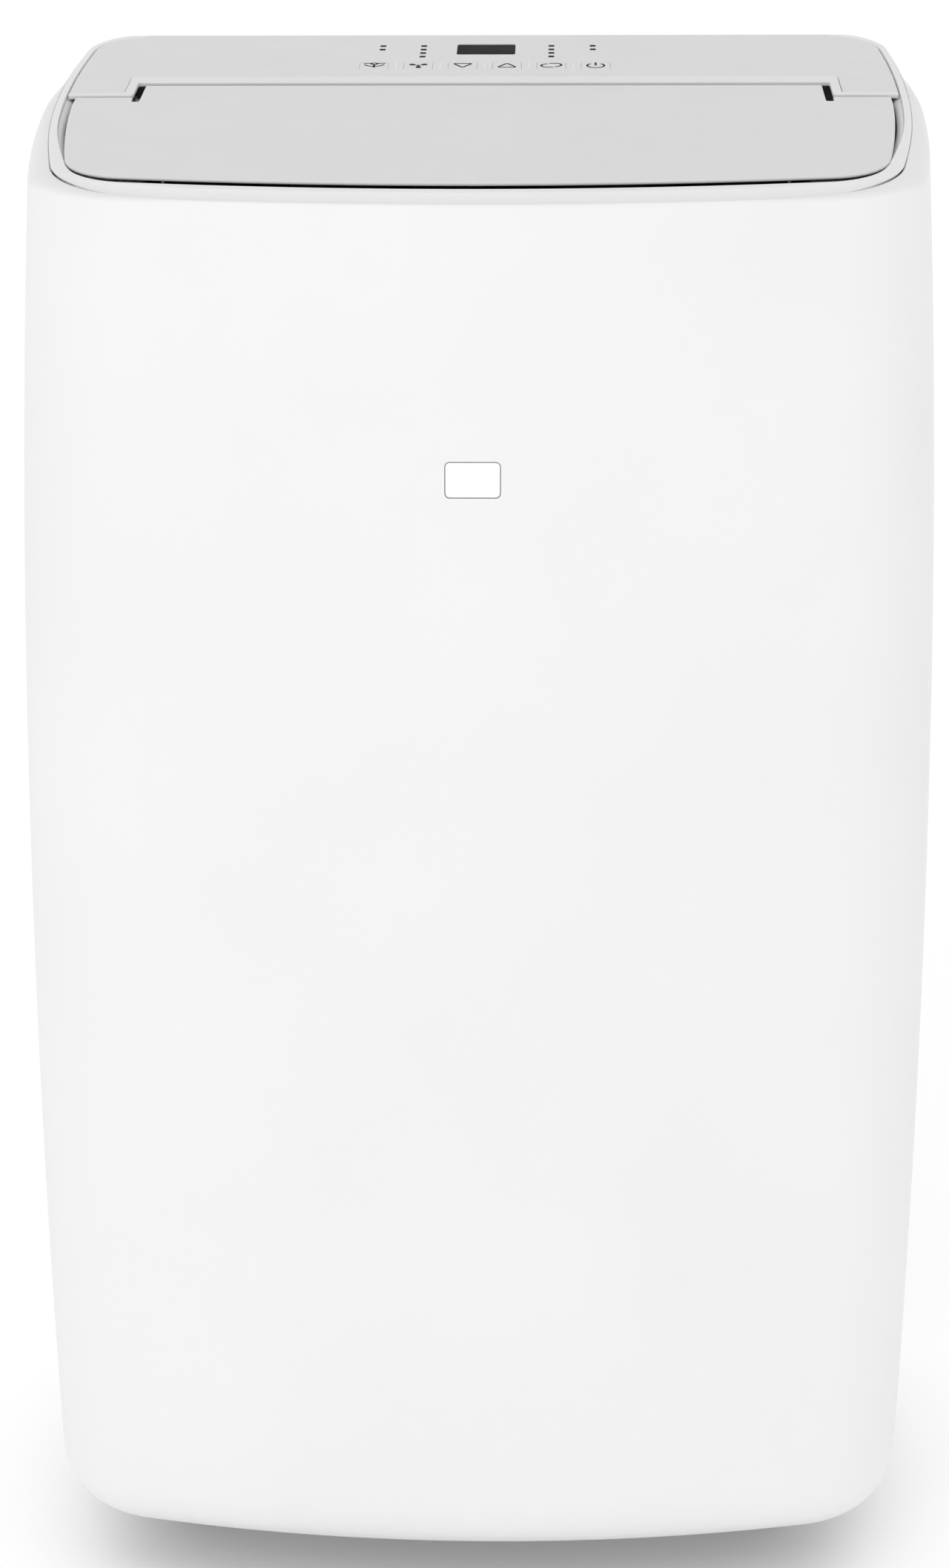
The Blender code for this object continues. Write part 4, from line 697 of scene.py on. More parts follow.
# ---- shells
def edge_inset(column):
    """Rounds a shell's upright edges at the split."""
    nearest = min(column, HALF_COLUMNS - 1 - column)
    if nearest >= EDGE_STEPS:
        return 0.0
    return EDGE_ROUND * (1.0 - math.sin(math.pi / 2.0 * nearest / EDGE_STEPS))


def wall_rows(point_at, column, inset):
    """One column of a shell's wall, from the skirt's edge to where the shoulder starts."""
    foot_top = FOOT_FILLET * math.sin(FOOT_FILLET_ANGLE)
    foot_x = point_at(column, SKIRT_Z, foot_inset(0.0))[0]
    base = skirt_z(foot_x)
    rows = []
    for step in range(FOOT_STEPS + 1):
        level = foot_top * (step / FOOT_STEPS) ** 1.2
        rows.append(Vector((*point_at(column, base + level, foot_inset(level) + inset), base + level)))
    start = shoulder_start(point_at, column, inset)
    low = base + foot_top
    for step in range(1, WALL_STEPS):
        z = low + (start.z - low) * step / WALL_STEPS
        rows.append(Vector((*point_at(column, z, inset), z)))
    rows.append(start)
    return rows


def shoulder_rows(start, end):
    """A quarter of an ellipse that leaves the wall upright and meets the rim line level."""
    rows = []
    for step in range(1, SHOULDER_STEPS + 1):
        angle = math.pi / 2.0 * step / SHOULDER_STEPS
        over = 1.0 - math.cos(angle)
        rise = math.sin(angle)
        rows.append(Vector((start.x + (end.x - start.x) * over, start.y + (end.y - start.y) * over,
                            start.z + (end.z - start.z) * rise)))
    return rows


def shell_section(point_at, column, rim):
    """A shell's closed section at one column: out and up, over the rim's edge, in and down."""
    end = Vector((*rim, rim_height(rim[1])))
    outer_wall = wall_rows(point_at, column, edge_inset(column))
    start = outer_wall[-1]
    across = Vector((end.x - start.x, end.y - start.y, 0.0))
    towards = across.normalized()
    edge = 0.0004
    outer = outer_wall + shoulder_rows(start, end - towards * edge)
    lip = [end - towards * edge * 0.3 - Vector((0.0, 0.0, edge * 0.3)), end - Vector((0.0, 0.0, edge))]
    true_start = shoulder_start(point_at, column, 0.0)
    rise = end.z - true_start.z
    inwards = (towards * rise - Vector((0.0, 0.0, across.length))).normalized()
    inner_wall = wall_rows(point_at, column, WALL)
    inner = inner_wall + shoulder_rows(inner_wall[-1], end + inwards * RIM_EDGE)
    return outer + lip, list(reversed(inner))


def make_shell(name, point_at, rim):
    """A shell with rounded edges, closed along both of its upright edges."""
    sections = [shell_section(point_at, column, rim[column]) for column in range(HALF_COLUMNS)]
    outer_count = len(sections[0][0])
    inner_count = len(sections[0][1])
    total = outer_count + inner_count
    points = [point for row in zip(*(outer + inner for outer, inner in sections)) for point in row]
    faces = tube_faces(total, HALF_COLUMNS, True, False)
    for column in (0, HALF_COLUMNS - 1):
        for row in range(inner_count - 1):
            corners = (row, row + 1, total - 2 - row, total - 1 - row)
            faces.append(tuple(corner * HALF_COLUMNS + column for corner in corners))
        faces.append(tuple(row * HALF_COLUMNS + column for row in range(inner_count - 1, outer_count + 1)))
    return mesh_of(name, points, faces)


def wall_prism(outline, low, high, bevel=0.0):
    """Points and faces of an (x, z) outline extruded along Y."""
    return prism(outline, along_y, low, high, bevel)


def make_front_shell():
    rim = front_ring(RIM_FRONT_INSET, RIM_CORNER_INSET, RIM_HALF_WIDTH)
    mesh = make_shell("front_shell", front_point, rim)
    outline = rounded_rectangle((0.0, IR_Z), *IR_SIZE, IR_CORNER)
    mesh = cut_mesh(mesh, [mesh_of("tool", *wall_prism(outline, -DEPTH, -DEPTH / 4.0))])
    place_mesh("front_shell", mesh, "white", "cabinet", ("front_panel",), flat_caps=False)


def make_receiver_window():
    """A softly edged lens in the front shell, a hair below its surface."""
    reach = face_reach_at(IR_Z)
    gap = 0.0003
    outline = inner_rectangle((0.0, IR_Z), IR_SIZE, gap, IR_CORNER - gap, 8)
    points, faces = wall_prism(outline, -reach + 0.0001, -reach + 0.0050, 0.0005)
    finish_mesh("receiver_window", points, faces, "lens", "cabinet", ("ir_window",))


def rear_cutters():
    """Everything that is cut through the rear shell."""
    clearance = 0.0008
    near = DEPTH / 4.0
    tools = []
    for node in ("upper_grille", "lower_grille"):
        centre, size = node_face(node)
        outline = inner_rectangle(centre, size, -clearance, 0.0040)
        tools.append(mesh_of("tool", *wall_prism(outline, near, DEPTH)))
    holes = [(EXHAUST_X, EXHAUST_Z, EXHAUST_RADIUS + 0.0108), (*UPPER_DRAIN, DRAIN_RADIUS + clearance),
             (*LOWER_DRAIN, DRAIN_RADIUS + clearance), (*CORD_INLET, CORD_INLET_RADIUS + clearance)]
    for x, z, radius in holes:
        outline = circle((x, z), radius, 96 if radius > EXHAUST_RADIUS else 40)
        tools.append(mesh_of("tool", *wall_prism(outline, near, DEPTH)))
    outline = rounded_rectangle(HANDLE_MIDDLE, *HANDLE_SIZE, 0.0060)
    for side in (-1.0, 1.0):
        reach = sorted((side * 0.19, side * 0.26))
        tools.append(mesh_of("tool", *prism(outline, along_x, *reach)))
    return tools


def make_rear_shell():
    rim = rear_ring(RIM_HALF_WIDTH, RIM_REAR_Y, RIM_REAR_CORNER)
    mesh = cut_mesh(make_shell("rear_shell", rear_point, rim), rear_cutters())
    place_mesh("rear_shell", mesh, "white", "cabinet", ("rear_housing",), flat_caps=False)


# ---- top cover
COVE_STEPS = 10


def cover_section(rim, opening):
    """The cover's closed section at one place, from its seam over the rim and round underneath."""
    across = Vector((opening[0] - rim[0], opening[1] - rim[1], 0.0))
    width = across.length
    towards = across / width
    front = eased(width, *COVE_BLEND) if rim[1] < 0.0 else 0.0
    lip = min(OPENING_LIP_THICK, width * 0.33)
    neck_at = COVE_START + 0.0005
    seam = rim_height(rim[1]) - COVER_GAP
    edge = COVER_GAP + (COVE_START - COVER_GAP) * front
    cove_reach = 0.0026 + (COVE_WIDTH - COVE_START) * front

    def place(distance, drop):
        x = rim[0] + towards.x * distance
        y = rim[1] + towards.y * distance
        return Vector((x, y, top_z(y) - drop))

    section = [place(neck_at, 0.0070)]
    neck = place(neck_at, 0.0)
    neck.z = seam - RIM_EDGE - 0.0004
    section.append(neck)
    first_top = place(edge, 0.0006)
    first_z = first_top.z + (seam - first_top.z) * front
    section.append(Vector((first_top.x, first_top.y, first_z - 0.0003)))
    for step in range(COVE_STEPS + 1):
        share = step / COVE_STEPS
        point = place(edge + cove_reach * share, 0.0001)
        rounded = math.sin(share * math.pi / 2.0)
        hollow = share ** 2.6
        rise = rounded + (hollow - rounded) * front
        section.append(Vector((point.x, point.y, first_z + (point.z - first_z) * rise)))
    rounding = min(0.0010, width * 0.15)
    for step in range(5):
        angle = math.pi / 2.0 * step / 4.0
        distance = width - rounding * (1.0 - math.sin(angle))
        section.append(place(distance, rounding * (1.0 - math.cos(angle))))
    lean = LIP_LEAN * (1.0 - front)
    section += [place(width + lean * share, drop) for share, drop in LEDGE]
    section += [place(width + lean - lip, OPENING_LIP), place(width - lip, 0.0072)]
    return section


def make_top_ring():
    rim_loop = front_ring(RIM_FRONT_INSET, RIM_CORNER_INSET, RIM_HALF_WIDTH)
    rim_loop += rear_ring(RIM_HALF_WIDTH, RIM_REAR_Y, RIM_REAR_CORNER)
    opening_loop = front_ring(OPENING_FRONT_INSET, OPENING_CORNER_INSET, OPENING_HALF_WIDTH)
    opening_loop += rear_ring(OPENING_HALF_WIDTH, CREST_Y, OPENING_REAR_CORNER)
    sections = [cover_section(rim, opening) for rim, opening in zip(rim_loop, opening_loop)]
    columns = len(sections)
    points = [point for row in zip(*sections) for point in row]
    faces = tube_faces(len(sections[0]), columns, True, True)
    finish_mesh("top_ring", points, faces, "white", "cabinet", ("top_cover",))


# ---- control panel
def slope_prism(outline, low, high, bevel=0.0, steps=3):
    """Points and faces of an (x, s) outline raised square to the slope."""
    return prism(outline, slope_point, low, high, bevel, steps)


def softened(corners, radius, steps=5):
    """A closed outline with each corner of a polygon rounded off."""
    corners = [Vector(corner) for corner in corners]
    outline = []
    for index, corner in enumerate(corners):
        before = corners[index - 1] - corner
        after = corners[(index + 1) % len(corners)] - corner
        reach = min(radius, before.length / 2.0, after.length / 2.0)
        start = corner + before.normalized() * reach
        end = corner + after.normalized() * reach
        for step in range(steps + 1):
            share = step / steps
            point = start * (1.0 - share) ** 2 + corner * 2.0 * share * (1.0 - share) + end * share ** 2
            outline.append((point.x, point.y))
    return outline


def mirrored(half):
    return half + [(-x, s) for x, s in reversed(half)]


def key_x(index):
    return (index - (len(KEY_NAMES) - 1) / 2.0) * KEY_PITCH


def panel_side(s):
    """The panel's edge follows the bowed side of the opening."""
    return PANEL_HALF_WIDTH - side_fall(CREST_Y - s * math.cos(SLOPE))


def side_line(start_s, end_s, steps=8):
    """Points down the panel's right edge."""
    places = [start_s + (end_s - start_s) * step / steps for step in range(steps + 1)]
    return [(panel_side(s), s) for s in places]


def make_panel_plate():
    """The grey plate behind the trim, with the display's and the keys' holes through it."""
    corner_s = OPENING_REAR_CORNER + 0.0012
    corner_x = panel_side(corner_s) - OPENING_REAR_CORNER
    half = arc((corner_x, corner_s), OPENING_REAR_CORNER, -math.pi / 2.0, 0.0, 20)
    half += side_line(corner_s, TRIM_START_S - 0.0010)[1:]
    mesh = mesh_of("panel_plate", *slope_prism(mirrored(half), -PANEL_THICK, 0.0, 0.0004, 2))
    holes = [rounded_rectangle((0.0, DISPLAY_S), *DISPLAY_SIZE, 0.0012)]
    for index in range(len(KEY_NAMES)):
        holes.append(rounded_rectangle((key_x(index), KEY_S), *KEY_SIZE, 0.0020))
    for place in indicator_places():
        holes.append(rounded_rectangle(place, *INDICATOR_SIZE, 0.0003, 2))
    tools = [mesh_of("tool", *slope_prism(hole, -0.02, 0.02)) for hole in holes]
    place_mesh("panel_plate", cut_mesh(mesh, tools), "grey", "cabinet", ("control_panel",))


EAR_STRIP_INNER = 0.0048
EAR_STRIP_FRONT = 0.0036
EAR_GAP = 0.0004
TRIM_HEIGHT = 0.0008
TRIM_ROUND = 0.0007


def make_panel_ears():
    """The plate's two ends that reach forward beside the flap."""
    inner_x = EAR_INNER_X + EAR_STRIP_INNER + EAR_GAP
    start_s = TRIM_START_S - 0.0006
    end_s = EAR_FRONT_S - EAR_STRIP_FRONT - EAR_GAP
    right = [(inner_x, start_s)] + side_line(start_s, end_s, 4) + [(inner_x, end_s)]
    left = [(-x, s) for x, s in reversed(right)]
    parts = [slope_prism(outline, -PANEL_THICK, 0.0, 0.0003, 2) for outline in (left, right)]
    finish_mesh("panel_ears", *gather(parts), "grey", "cabinet")


def make_panel_trim():
    """The pale bar in front of the plate, which turns forward round each ear. Its paler grey is partly the
    bar's own tone and partly a painted highlight along the ear borders, where their raised edges catch the
    light.
    """
    strip_x = EAR_INNER_X + EAR_STRIP_INNER
    strip_s = EAR_FRONT_S - EAR_STRIP_FRONT
    half = [(strip_x, TRIM_START_S), (strip_x, strip_s), (panel_side(strip_s), strip_s),
            (panel_side(EAR_FRONT_S), EAR_FRONT_S), (EAR_INNER_X, EAR_FRONT_S),
            (EAR_INNER_X, PANEL_FRONT_S)]
    outline = softened(mirrored(half), 0.0016, 4)
    shape = slope_prism(outline, -PANEL_THICK, TRIM_HEIGHT, TRIM_ROUND, 4)
    finish_mesh("panel_trim", *shape, "trim", "cabinet")


def make_display():
    outline = inner_rectangle((0.0, DISPLAY_S), DISPLAY_SIZE, 0.0002, 0.0010)
    shape = slope_prism(outline, -0.0030, -0.0003, 0.0003)
    finish_mesh("display_glass", *shape, "glass", "cabinet", ("display_window",))


INDICATOR_SIZE = (0.0031, 0.0036)
INDICATOR_PITCH = 0.0074
INDICATOR_FIRST_S = 0.0240


def indicator_places():
    """Two short columns of lights outside and two long ones beside the display."""
    places = []
    for x, count in ((-0.0543, 2), (-0.0328, 4), (0.0341, 4), (0.0558, 2)):
        places += [(x, INDICATOR_FIRST_S + INDICATOR_PITCH * row) for row in range(count)]
    return places


def make_indicators():
    parts = []
    for place in indicator_places():
        outline = inner_rectangle(place, INDICATOR_SIZE, 0.0001, 0.0003, 2)
        parts.append(slope_prism(outline, -0.0014, 0.00005, 0.0002, 2))
    finish_mesh("indicator_lights", *gather(parts), "ink", "cabinet")


def make_key_dividers():
    parts = []
    for index in range(len(KEY_NAMES) - 1):
        x = key_x(index) + KEY_PITCH / 2.0
        outline = rounded_rectangle((x, KEY_S), 0.0006, 0.0140, 0.00029, 3)
        parts.append(slope_prism(outline, -0.0002, 0.00012))
    # The dividers are thin raised ridges; their pale colour is a painted highlight, the light catching each
    # ridge between the keys.
    finish_mesh("key_dividers", *gather(parts), "pale_ink", "cabinet")


LINE_WIDTH = 0.00105
PRINT_LOW = -0.0002
PRINT_HIGH = 0.00006


def line(path, closed=False):
    """Points and faces of a printed line of even width along a path in (x, s)."""
    count = len(path)
    points = []
    for index in range(count):
        before = Vector(path[index - 1] if closed or index else path[0])
        after = Vector(path[(index + 1) % count] if closed or index < count - 1 else path[-1])
        along = (after - before).normalized()
        side = Vector((along.y, -along.x)) * LINE_WIDTH / 2.0
        centre = Vector(path[index])
        for sign, up in ((1.0, PRINT_LOW), (1.0, PRINT_HIGH), (-1.0, PRINT_HIGH), (-1.0, PRINT_LOW)):
            spot = centre + side * sign
            points.append(slope_point(spot.x, spot.y, up))
    faces = tube_faces(count, 4, closed, True)
    return points, faces if closed else faces + end_caps(count, 4)


def icon_sleep(x, s):
    """A louvre swinging between two sides."""
    parts = [line(arc((x, s - 0.0035), 0.0052, math.radians(20), math.radians(160), 16)),
             line([(x - 0.0056, s - 0.0045), (x - 0.0016, s - 0.0045)]),
             line([(x + 0.0016, s - 0.0045), (x + 0.0056, s - 0.0045)]),
             line([(x, s - 0.0030), (x, s + 0.0040)]),
             line(circle((x, s - 0.0035), 0.0016, 12), True)]
    return parts


def icon_fan(x, s):
    """Three blades round a hub."""
    parts = [slope_prism(circle((x, s), 0.0011, 16), PRINT_LOW, PRINT_HIGH)]
    for blade in range(3):
        turn = 2.0 * math.pi * blade / 3.0 + math.radians(90)
        outline = []
        for along, across in ((0.0015, -0.0006), (0.0034, -0.0018), (0.0050, -0.0013), (0.0054, 0.0004),
                              (0.0042, 0.0015), (0.0016, 0.0008)):
            outline.append((x + along * math.cos(turn) - across * math.sin(turn),
                            s + along * math.sin(turn) + across * math.cos(turn)))
        parts.append(slope_prism(softened(outline, 0.0010, 3), PRINT_LOW, PRINT_HIGH))
    return parts


def icon_triangle(x, s, tip):
    """An outlined arrowhead whose tip points down the slope for tip = 1 and up it for -1."""
    corners = [(x - 0.0048, s - 0.0038 * tip), (x + 0.0048, s - 0.0038 * tip), (x, s + 0.0042 * tip)]
    return [line(softened(corners, 0.0014), True)]


def icon_mode(x, s):
    """Two half loops that follow each other round."""
    half = [(x - 0.0010, s - 0.0034)] + arc((x + 0.0018, s), 0.0034, -math.pi / 2.0, math.pi / 2.0, 12)
    other = [(2.0 * x - along, 2.0 * s - down) for along, down in half]
    return [line([(along, down - 0.0006) for along, down in half]),
            line([(along, down + 0.0006) for along, down in other])]


def icon_power(x, s):
    gap = math.radians(35)
    ring = arc((x, s + 0.0006), 0.0044, -math.pi / 2.0 + gap, 1.5 * math.pi - gap, 24)
    return [line(ring), line([(x, s - 0.0052), (x, s + 0.0002)])]


def key_icons(x, s):
    """The symbol of each key, in the keys' own order."""
    return [icon_sleep(x, s), icon_fan(x, s), icon_triangle(x, s, 1.0), icon_triangle(x, s, -1.0),
            icon_mode(x, s), icon_power(x, s)]


def make_keys():
    """Flush caps with a printed symbol each; a symbol rides on its own key."""
    for index, name in enumerate(KEY_NAMES):
        outline = inner_rectangle((key_x(index), KEY_S), KEY_SIZE, KEY_GAP, 0.0019)
        cap = slope_prism(outline, -KEY_DEPTH, 0.0, 0.0001, 2)
        finish_mesh(name + "_cap", *cap, "key", name, (name,))
        parts = key_icons(key_x(index), KEY_S - 0.0012)[index]
        finish_mesh(name + "_symbol", *gather(parts), "ink", name)


# ---- flap
def flap_outline():
    """The flap in (x, s): bowed front and sides with round corners, and a narrower tongue behind."""
    side_bow = SIDE_BOW_RADIUS / math.cos(SLOPE) ** 2
    widest_s = (CREST_Y - SIDE_BOW_Y) / math.cos(SLOPE)
    around = [half_point(column, FLAP_HALF_WIDTH, FLAP_FRONT_S, BOW_RADIUS_HEAD, FLAP_CORNER,
                         -FLAP_SHOULDER_S, side_bow, -widest_s)
              for column in range(EDGE_STEPS + 1, HALF_COLUMNS - EDGE_STEPS - 1)]
    side_x = around[-1][0]
    corners = [(side_x, FLAP_SHOULDER_S + 0.0030), (side_x, FLAP_SHOULDER_S),
               (FLAP_SLOT_X, FLAP_SHOULDER_S), (FLAP_SLOT_X, FLAP_SLOT_S),
               (FLAP_TONGUE_HALF, FLAP_SLOT_S), (FLAP_TONGUE_HALF, FLAP_REAR_S), (0.0, FLAP_REAR_S)]
    tongue = softened(corners, 0.0014, 4)[5:-5]
    return list(reversed([(x, -y) for x, y in around] + mirrored(tongue)))


FLAP_RIB_LEVELS = (-0.0058, -0.0013)
FLAP_RIB_HALF = 0.0007
FLAP_RIB_PITCH = 0.048
FLAP_RIB_S = (0.1180, 0.2560)
FLAP_CROSS_S = (0.1320, 0.1900, 0.2460)
HINGE_ARM_WIDTH = 0.005
HINGE_PIN_REACH = 0.0140


def make_flap():
    """A plate with ribs underneath, two hinge arms and their pins."""
    parts = [slope_prism(flap_outline(), -FLAP_THICK, 0.0, 0.0007, 4)]
    for index in range(7):
        x = (index - 3) * FLAP_RIB_PITCH
        rib = rectangle(x - FLAP_RIB_HALF, x + FLAP_RIB_HALF, *FLAP_RIB_S)
        parts.append(slope_prism(rib, *FLAP_RIB_LEVELS))
    for s in FLAP_CROSS_S:
        rib = rectangle(-3 * FLAP_RIB_PITCH, 3 * FLAP_RIB_PITCH, s - FLAP_RIB_HALF, s + FLAP_RIB_HALF)
        parts.append(slope_prism(rib, *FLAP_RIB_LEVELS))
    axis = slope_point(0.0, HINGE_S, -HINGE_DROP)
    for side in (-1.0, 1.0):
        inner, outer = sorted((side * (HINGE_ARM_X - HINGE_ARM_WIDTH), side * HINGE_ARM_X))
        arm = rectangle(inner, outer, HINGE_S - 0.0030, HINGE_S + 0.0060)
        parts.append(slope_prism(arm, -HINGE_DROP - 0.0030, -FLAP_THICK + 0.0006, 0.0003, 2))
        ends = sorted((side * (HINGE_ARM_X - HINGE_ARM_WIDTH), side * (HINGE_ARM_X + HINGE_PIN_REACH)))
        parts.append(turned(rod(HINGE_PIN_RADIUS, *ends), "X", axis, 24))
    finish_mesh("outlet_flap", *gather(parts), "grey", "flap", ("louver_flap",))


# ---- turned pieces
def turned(profile, axis, centre, sides):
    """Points and faces of a (radius, height) profile turned about a line through centre.

    A profile that starts and ends at radius zero closes itself with a fan; any other one is a ring.
    """
    place = {"X": along_x, "Y": along_y, "Z": along_z}[axis]
    origin = Vector(centre)
    origin["XYZ".index(axis)] = 0.0
    solid = profile[0][0] == 0.0
    ring_profile = [spot for spot in profile if spot[0] > 0.0]
    points = []
    for radius, height in ring_profile:
        for index in range(sides):
            angle = 2.0 * math.pi * index / sides
            spot = place(radius * math.cos(angle), radius * math.sin(angle), height)
            points.append(origin + Vector(spot))
    faces = tube_faces(len(ring_profile), sides, not solid, True)
    if solid:
        for row, (_, height) in ((0, profile[0]), (len(ring_profile) - 1, profile[-1])):
            pole = len(points)
            points.append(origin + Vector(place(0.0, 0.0, height)))
            for index in range(sides):
                faces.append((pole, row * sides + index, row * sides + (index + 1) % sides))
    return points, faces


def rounded_profile(corners, radius, steps=3):
    """A closed (radius, height) profile with its corners rounded; corners on the axis stay."""
    soft = softened(corners, radius, steps)
    per_corner = steps + 1
    profile = []
    for index, corner in enumerate(corners):
        if corner[0] == 0.0:
            profile.append(corner)
        else:
            profile += soft[index * per_corner:(index + 1) * per_corner]
    return profile


# ---- rear fittings
GRILLE_BORDER = 0.008
GRILLE_ROUND = 0.0006
SLAT_LEAN = math.radians(38)
SLAT_REACH = 0.0023
SLAT_HALF_THICK = 0.0007


def grille_frame(node, front, rear):
    """The frame, with a rounded rim behind, outside and inside."""
    centre, size = node_face(node)
    outer = rounded_rectangle(centre, *size, 0.0036)
    inner = inner_rectangle(centre, size, GRILLE_BORDER, 0.0020)
    rise = GRILLE_ROUND
    edge = [(front, 0.0), (rear - rise, 0.0), (rear - rise * 0.3, rise * 0.3), (rear, rise)]
    points = []
    for outline, levels, sign in ((outer, edge, -1.0), (inner, edge[::-1], 1.0)):
        normals = outline_normals(outline)
        for level, inset in levels:
            points += [(a + normal.x * inset * sign, level, b + normal.y * inset * sign)
                       for (a, b), normal in zip(outline, normals)]
    return points, tube_faces(2 * len(edge), len(outer), True, True)


def make_grille(node, slats):
    """A moulded frame with leaning slats and one upright bar, in the node's own box."""
    low, high = node_box(node)
    middle_y = (low.y + high.y) / 2.0
    parts = [grille_frame(node, low.y, high.y)]
    first = low.z + GRILLE_BORDER
    last = high.z - GRILLE_BORDER
    ends = (low.x + GRILLE_BORDER - 0.001, high.x - GRILLE_BORDER + 0.001)
    for index in range(slats):
        z = first + (last - first) / slats * (index + 0.5)
        outline = []
        for along, across in rectangle(-SLAT_REACH, SLAT_REACH, -SLAT_HALF_THICK, SLAT_HALF_THICK):
            outline.append((middle_y + along * math.cos(SLAT_LEAN) + across * math.sin(SLAT_LEAN),
                            z - along * math.sin(SLAT_LEAN) + across * math.cos(SLAT_LEAN)))
        parts.append(prism(softened(outline, 0.0006, 3), along_x, *ends))
    bar = rounded_rectangle(((low.x + high.x) / 2.0, middle_y), 0.0060, 0.0050, 0.0010, 3)
    parts.append(prism(bar, along_z, first - 0.001, last + 0.001))
    body = node.replace("_grille", "_intake")
    finish_mesh(node + "_slats", *gather(parts), "white", body, (node,))


FILTER_BORDER = 0.006
THREAD_PITCH = 0.0024
THREAD_HALF = 0.00022


def make_filter(node):
    """A frame with fine threads both ways, which the grille holds."""
    low, high = node_box(node)
    body = node.replace("_filter", "_intake")
    border = FILTER_BORDER
    overlap = 0.0002
    middle_x = (low.x + high.x) / 2.0
    parts = []
    for left, right in ((low.x, low.x + border), (middle_x - 0.0015, middle_x + 0.0015),
                        (high.x - border, high.x)):
        parts.append(box_parts((left, low.y, low.z), (right, high.y, high.z)))
    for bottom, top in ((low.z, low.z + border), (high.z - border, high.z)):
        parts.append(box_parts((low.x + border - overlap, low.y + overlap, bottom + overlap),
                               (high.x - border + overlap, high.y - overlap, top - overlap)))
    finish_mesh(node + "_frame", *gather(parts), "filter", body, (node,))
    half = THREAD_HALF
    middle_y = (low.y + high.y) / 2.0
    reach = border - 0.001
    threads = []
    for index in range(1, int((high.x - low.x - 2 * border) / THREAD_PITCH)):
        x = low.x + border + THREAD_PITCH * index
        threads.append(box_parts((x - half, middle_y - half, low.z + reach),
                                 (x + half, middle_y + half, high.z - reach)))
    for index in range(1, int((high.z - low.z - 2 * border) / THREAD_PITCH)):
        z = low.z + border + THREAD_PITCH * index
        threads.append(box_parts((low.x + reach, middle_y, z - half),
                                 (high.x - reach, middle_y + 2 * half, z + half)))
    finish_mesh(node + "_threads", *gather(threads), "filter", body)


def make_exhaust_ring():
    inner = EXHAUST_RADIUS
    profile = rounded_profile([(inner, 0.1503), (inner + 0.0050, 0.1503), (inner + 0.0050, 0.1800),
                               (inner + 0.0100, 0.1830), (inner + 0.0100, EXHAUST_RIM_Y),
                               (inner + 0.0072, EXHAUST_RIM_Y), (inner + 0.0068, EXHAUST_RIM_Y - 0.0008),
                               (inner + 0.0058, EXHAUST_RIM_Y - 0.0008), (inner + 0.0054, EXHAUST_RIM_Y),
                               (inner, EXHAUST_RIM_Y)], 0.0007)
    ring = turned(profile, "Y", (EXHAUST_X, 0.0, EXHAUST_Z), 96)
    finish_mesh("exhaust_ring", *ring, "white", "cabinet", ("exhaust_collar",))


def make_drain_plug(node, place):
    """A rubber plug with a rounded flange and a grip rib."""
    x, z = place
    profile = rounded_profile([(0.0, 0.1700), (0.0065, 0.1700), (0.0068, 0.1830), (DRAIN_RADIUS, 0.1840),
                               (DRAIN_RADIUS, 0.1890), (0.0, 0.1890)], 0.0008)
    rib = rounded_rectangle((x, z), 0.0120, 0.0024, 0.0010)
    parts = [turned(profile, "Y", (x, 0.0, z), 40), wall_prism(rib, 0.1880, 0.1930, 0.0006)]
    finish_mesh(node + "_plug", *gather(parts), "rubber", node.replace("_cap", ""), (node,))


def make_cord_gland():
    x, z = CORD_INLET
    outer = CORD_INLET_RADIUS
    section = [(0.0040, 0.1780), (outer, 0.1780), (outer, 0.1930), (0.0040, 0.1930)]
    bush = turned(rounded_profile(section, 0.0008), "Y", (x, 0.0, z), 40)
    finish_mesh("cord_gland", *bush, "rubber", "cabinet", ("cord_inlet",))


GRIP_GAP = 0.0006
GRIP_WALL = 0.0018
GRIP_FLOOR_ROUND = 0.0030


def make_grip(node, side):
    """A grip pocket with rounded corners, open to the side."""
    mouth = half_width_at(HANDLE_MIDDLE[1]) - HANDLE_RECESS
    deep = mouth - HANDLE_DEPTH
    wall = GRIP_WALL
    soft = GRIP_FLOOR_ROUND
    edge = 0.0005
    shape = [(deep, soft), (deep + soft * 0.3, soft * 0.3), (deep + soft, 0.0), (mouth - edge, 0.0),
             (mouth, edge), (mouth, wall - edge), (mouth - edge, wall), (deep + wall + soft, wall),
             (deep + wall + soft * 0.3, wall + soft * 0.3), (deep + wall, wall + soft)]
    points = []
    for x, inset in shape:
        corner = max(0.0056 - inset, 0.0010)
        outline = inner_rectangle(HANDLE_MIDDLE, HANDLE_SIZE, GRIP_GAP + inset, corner)
        points += [(side * x, a, b) for a, b in outline]
    rows = len(shape)
    columns = len(points) // rows
    faces = tube_faces(rows, columns, False, True) + end_caps(rows, columns)
    finish_mesh(node + "_pocket", points, faces, "duct", "cabinet", (node,))


SCREW_PLACES = [(x, z) for z in (0.690, 0.430, 0.180) for x in (-0.162, 0.162)]
SCREW_PLACES += [(-0.130, 0.440), (0.010, 0.440)]
SCREW_HEAD = ((0.0, -0.0020), (0.0032, -0.0020), (0.0034, 0.0002), (0.0026, 0.0008), (0.0014, 0.0010),
              (0.0, 0.0011))
SCREW_SLOT = (0.0036, 0.0008)


def make_screws():
    """Domed screw heads with a crossed recess, just proud of the rear wall."""
    parts = []
    tools = []
    for x, z in SCREW_PLACES:
        y = face_reach_at(z) - x * x / (2.0 * REAR_BOW_RADIUS)
        profile = [(radius, y + height) for radius, height in SCREW_HEAD]
        parts.append(turned(profile, "Y", (x, 0.0, z), 28))
        for size in (SCREW_SLOT, SCREW_SLOT[::-1]):
            slot = rounded_rectangle((x, z), *size, 0.0002, 2)
            tools.append(mesh_of("tool", *wall_prism(slot, y - 0.0004, y + 0.0030)))
    mesh = cut_mesh(mesh_of("rear_screws", *gather(parts)), tools)
    place_mesh("rear_screws", mesh, "steel", "cabinet")


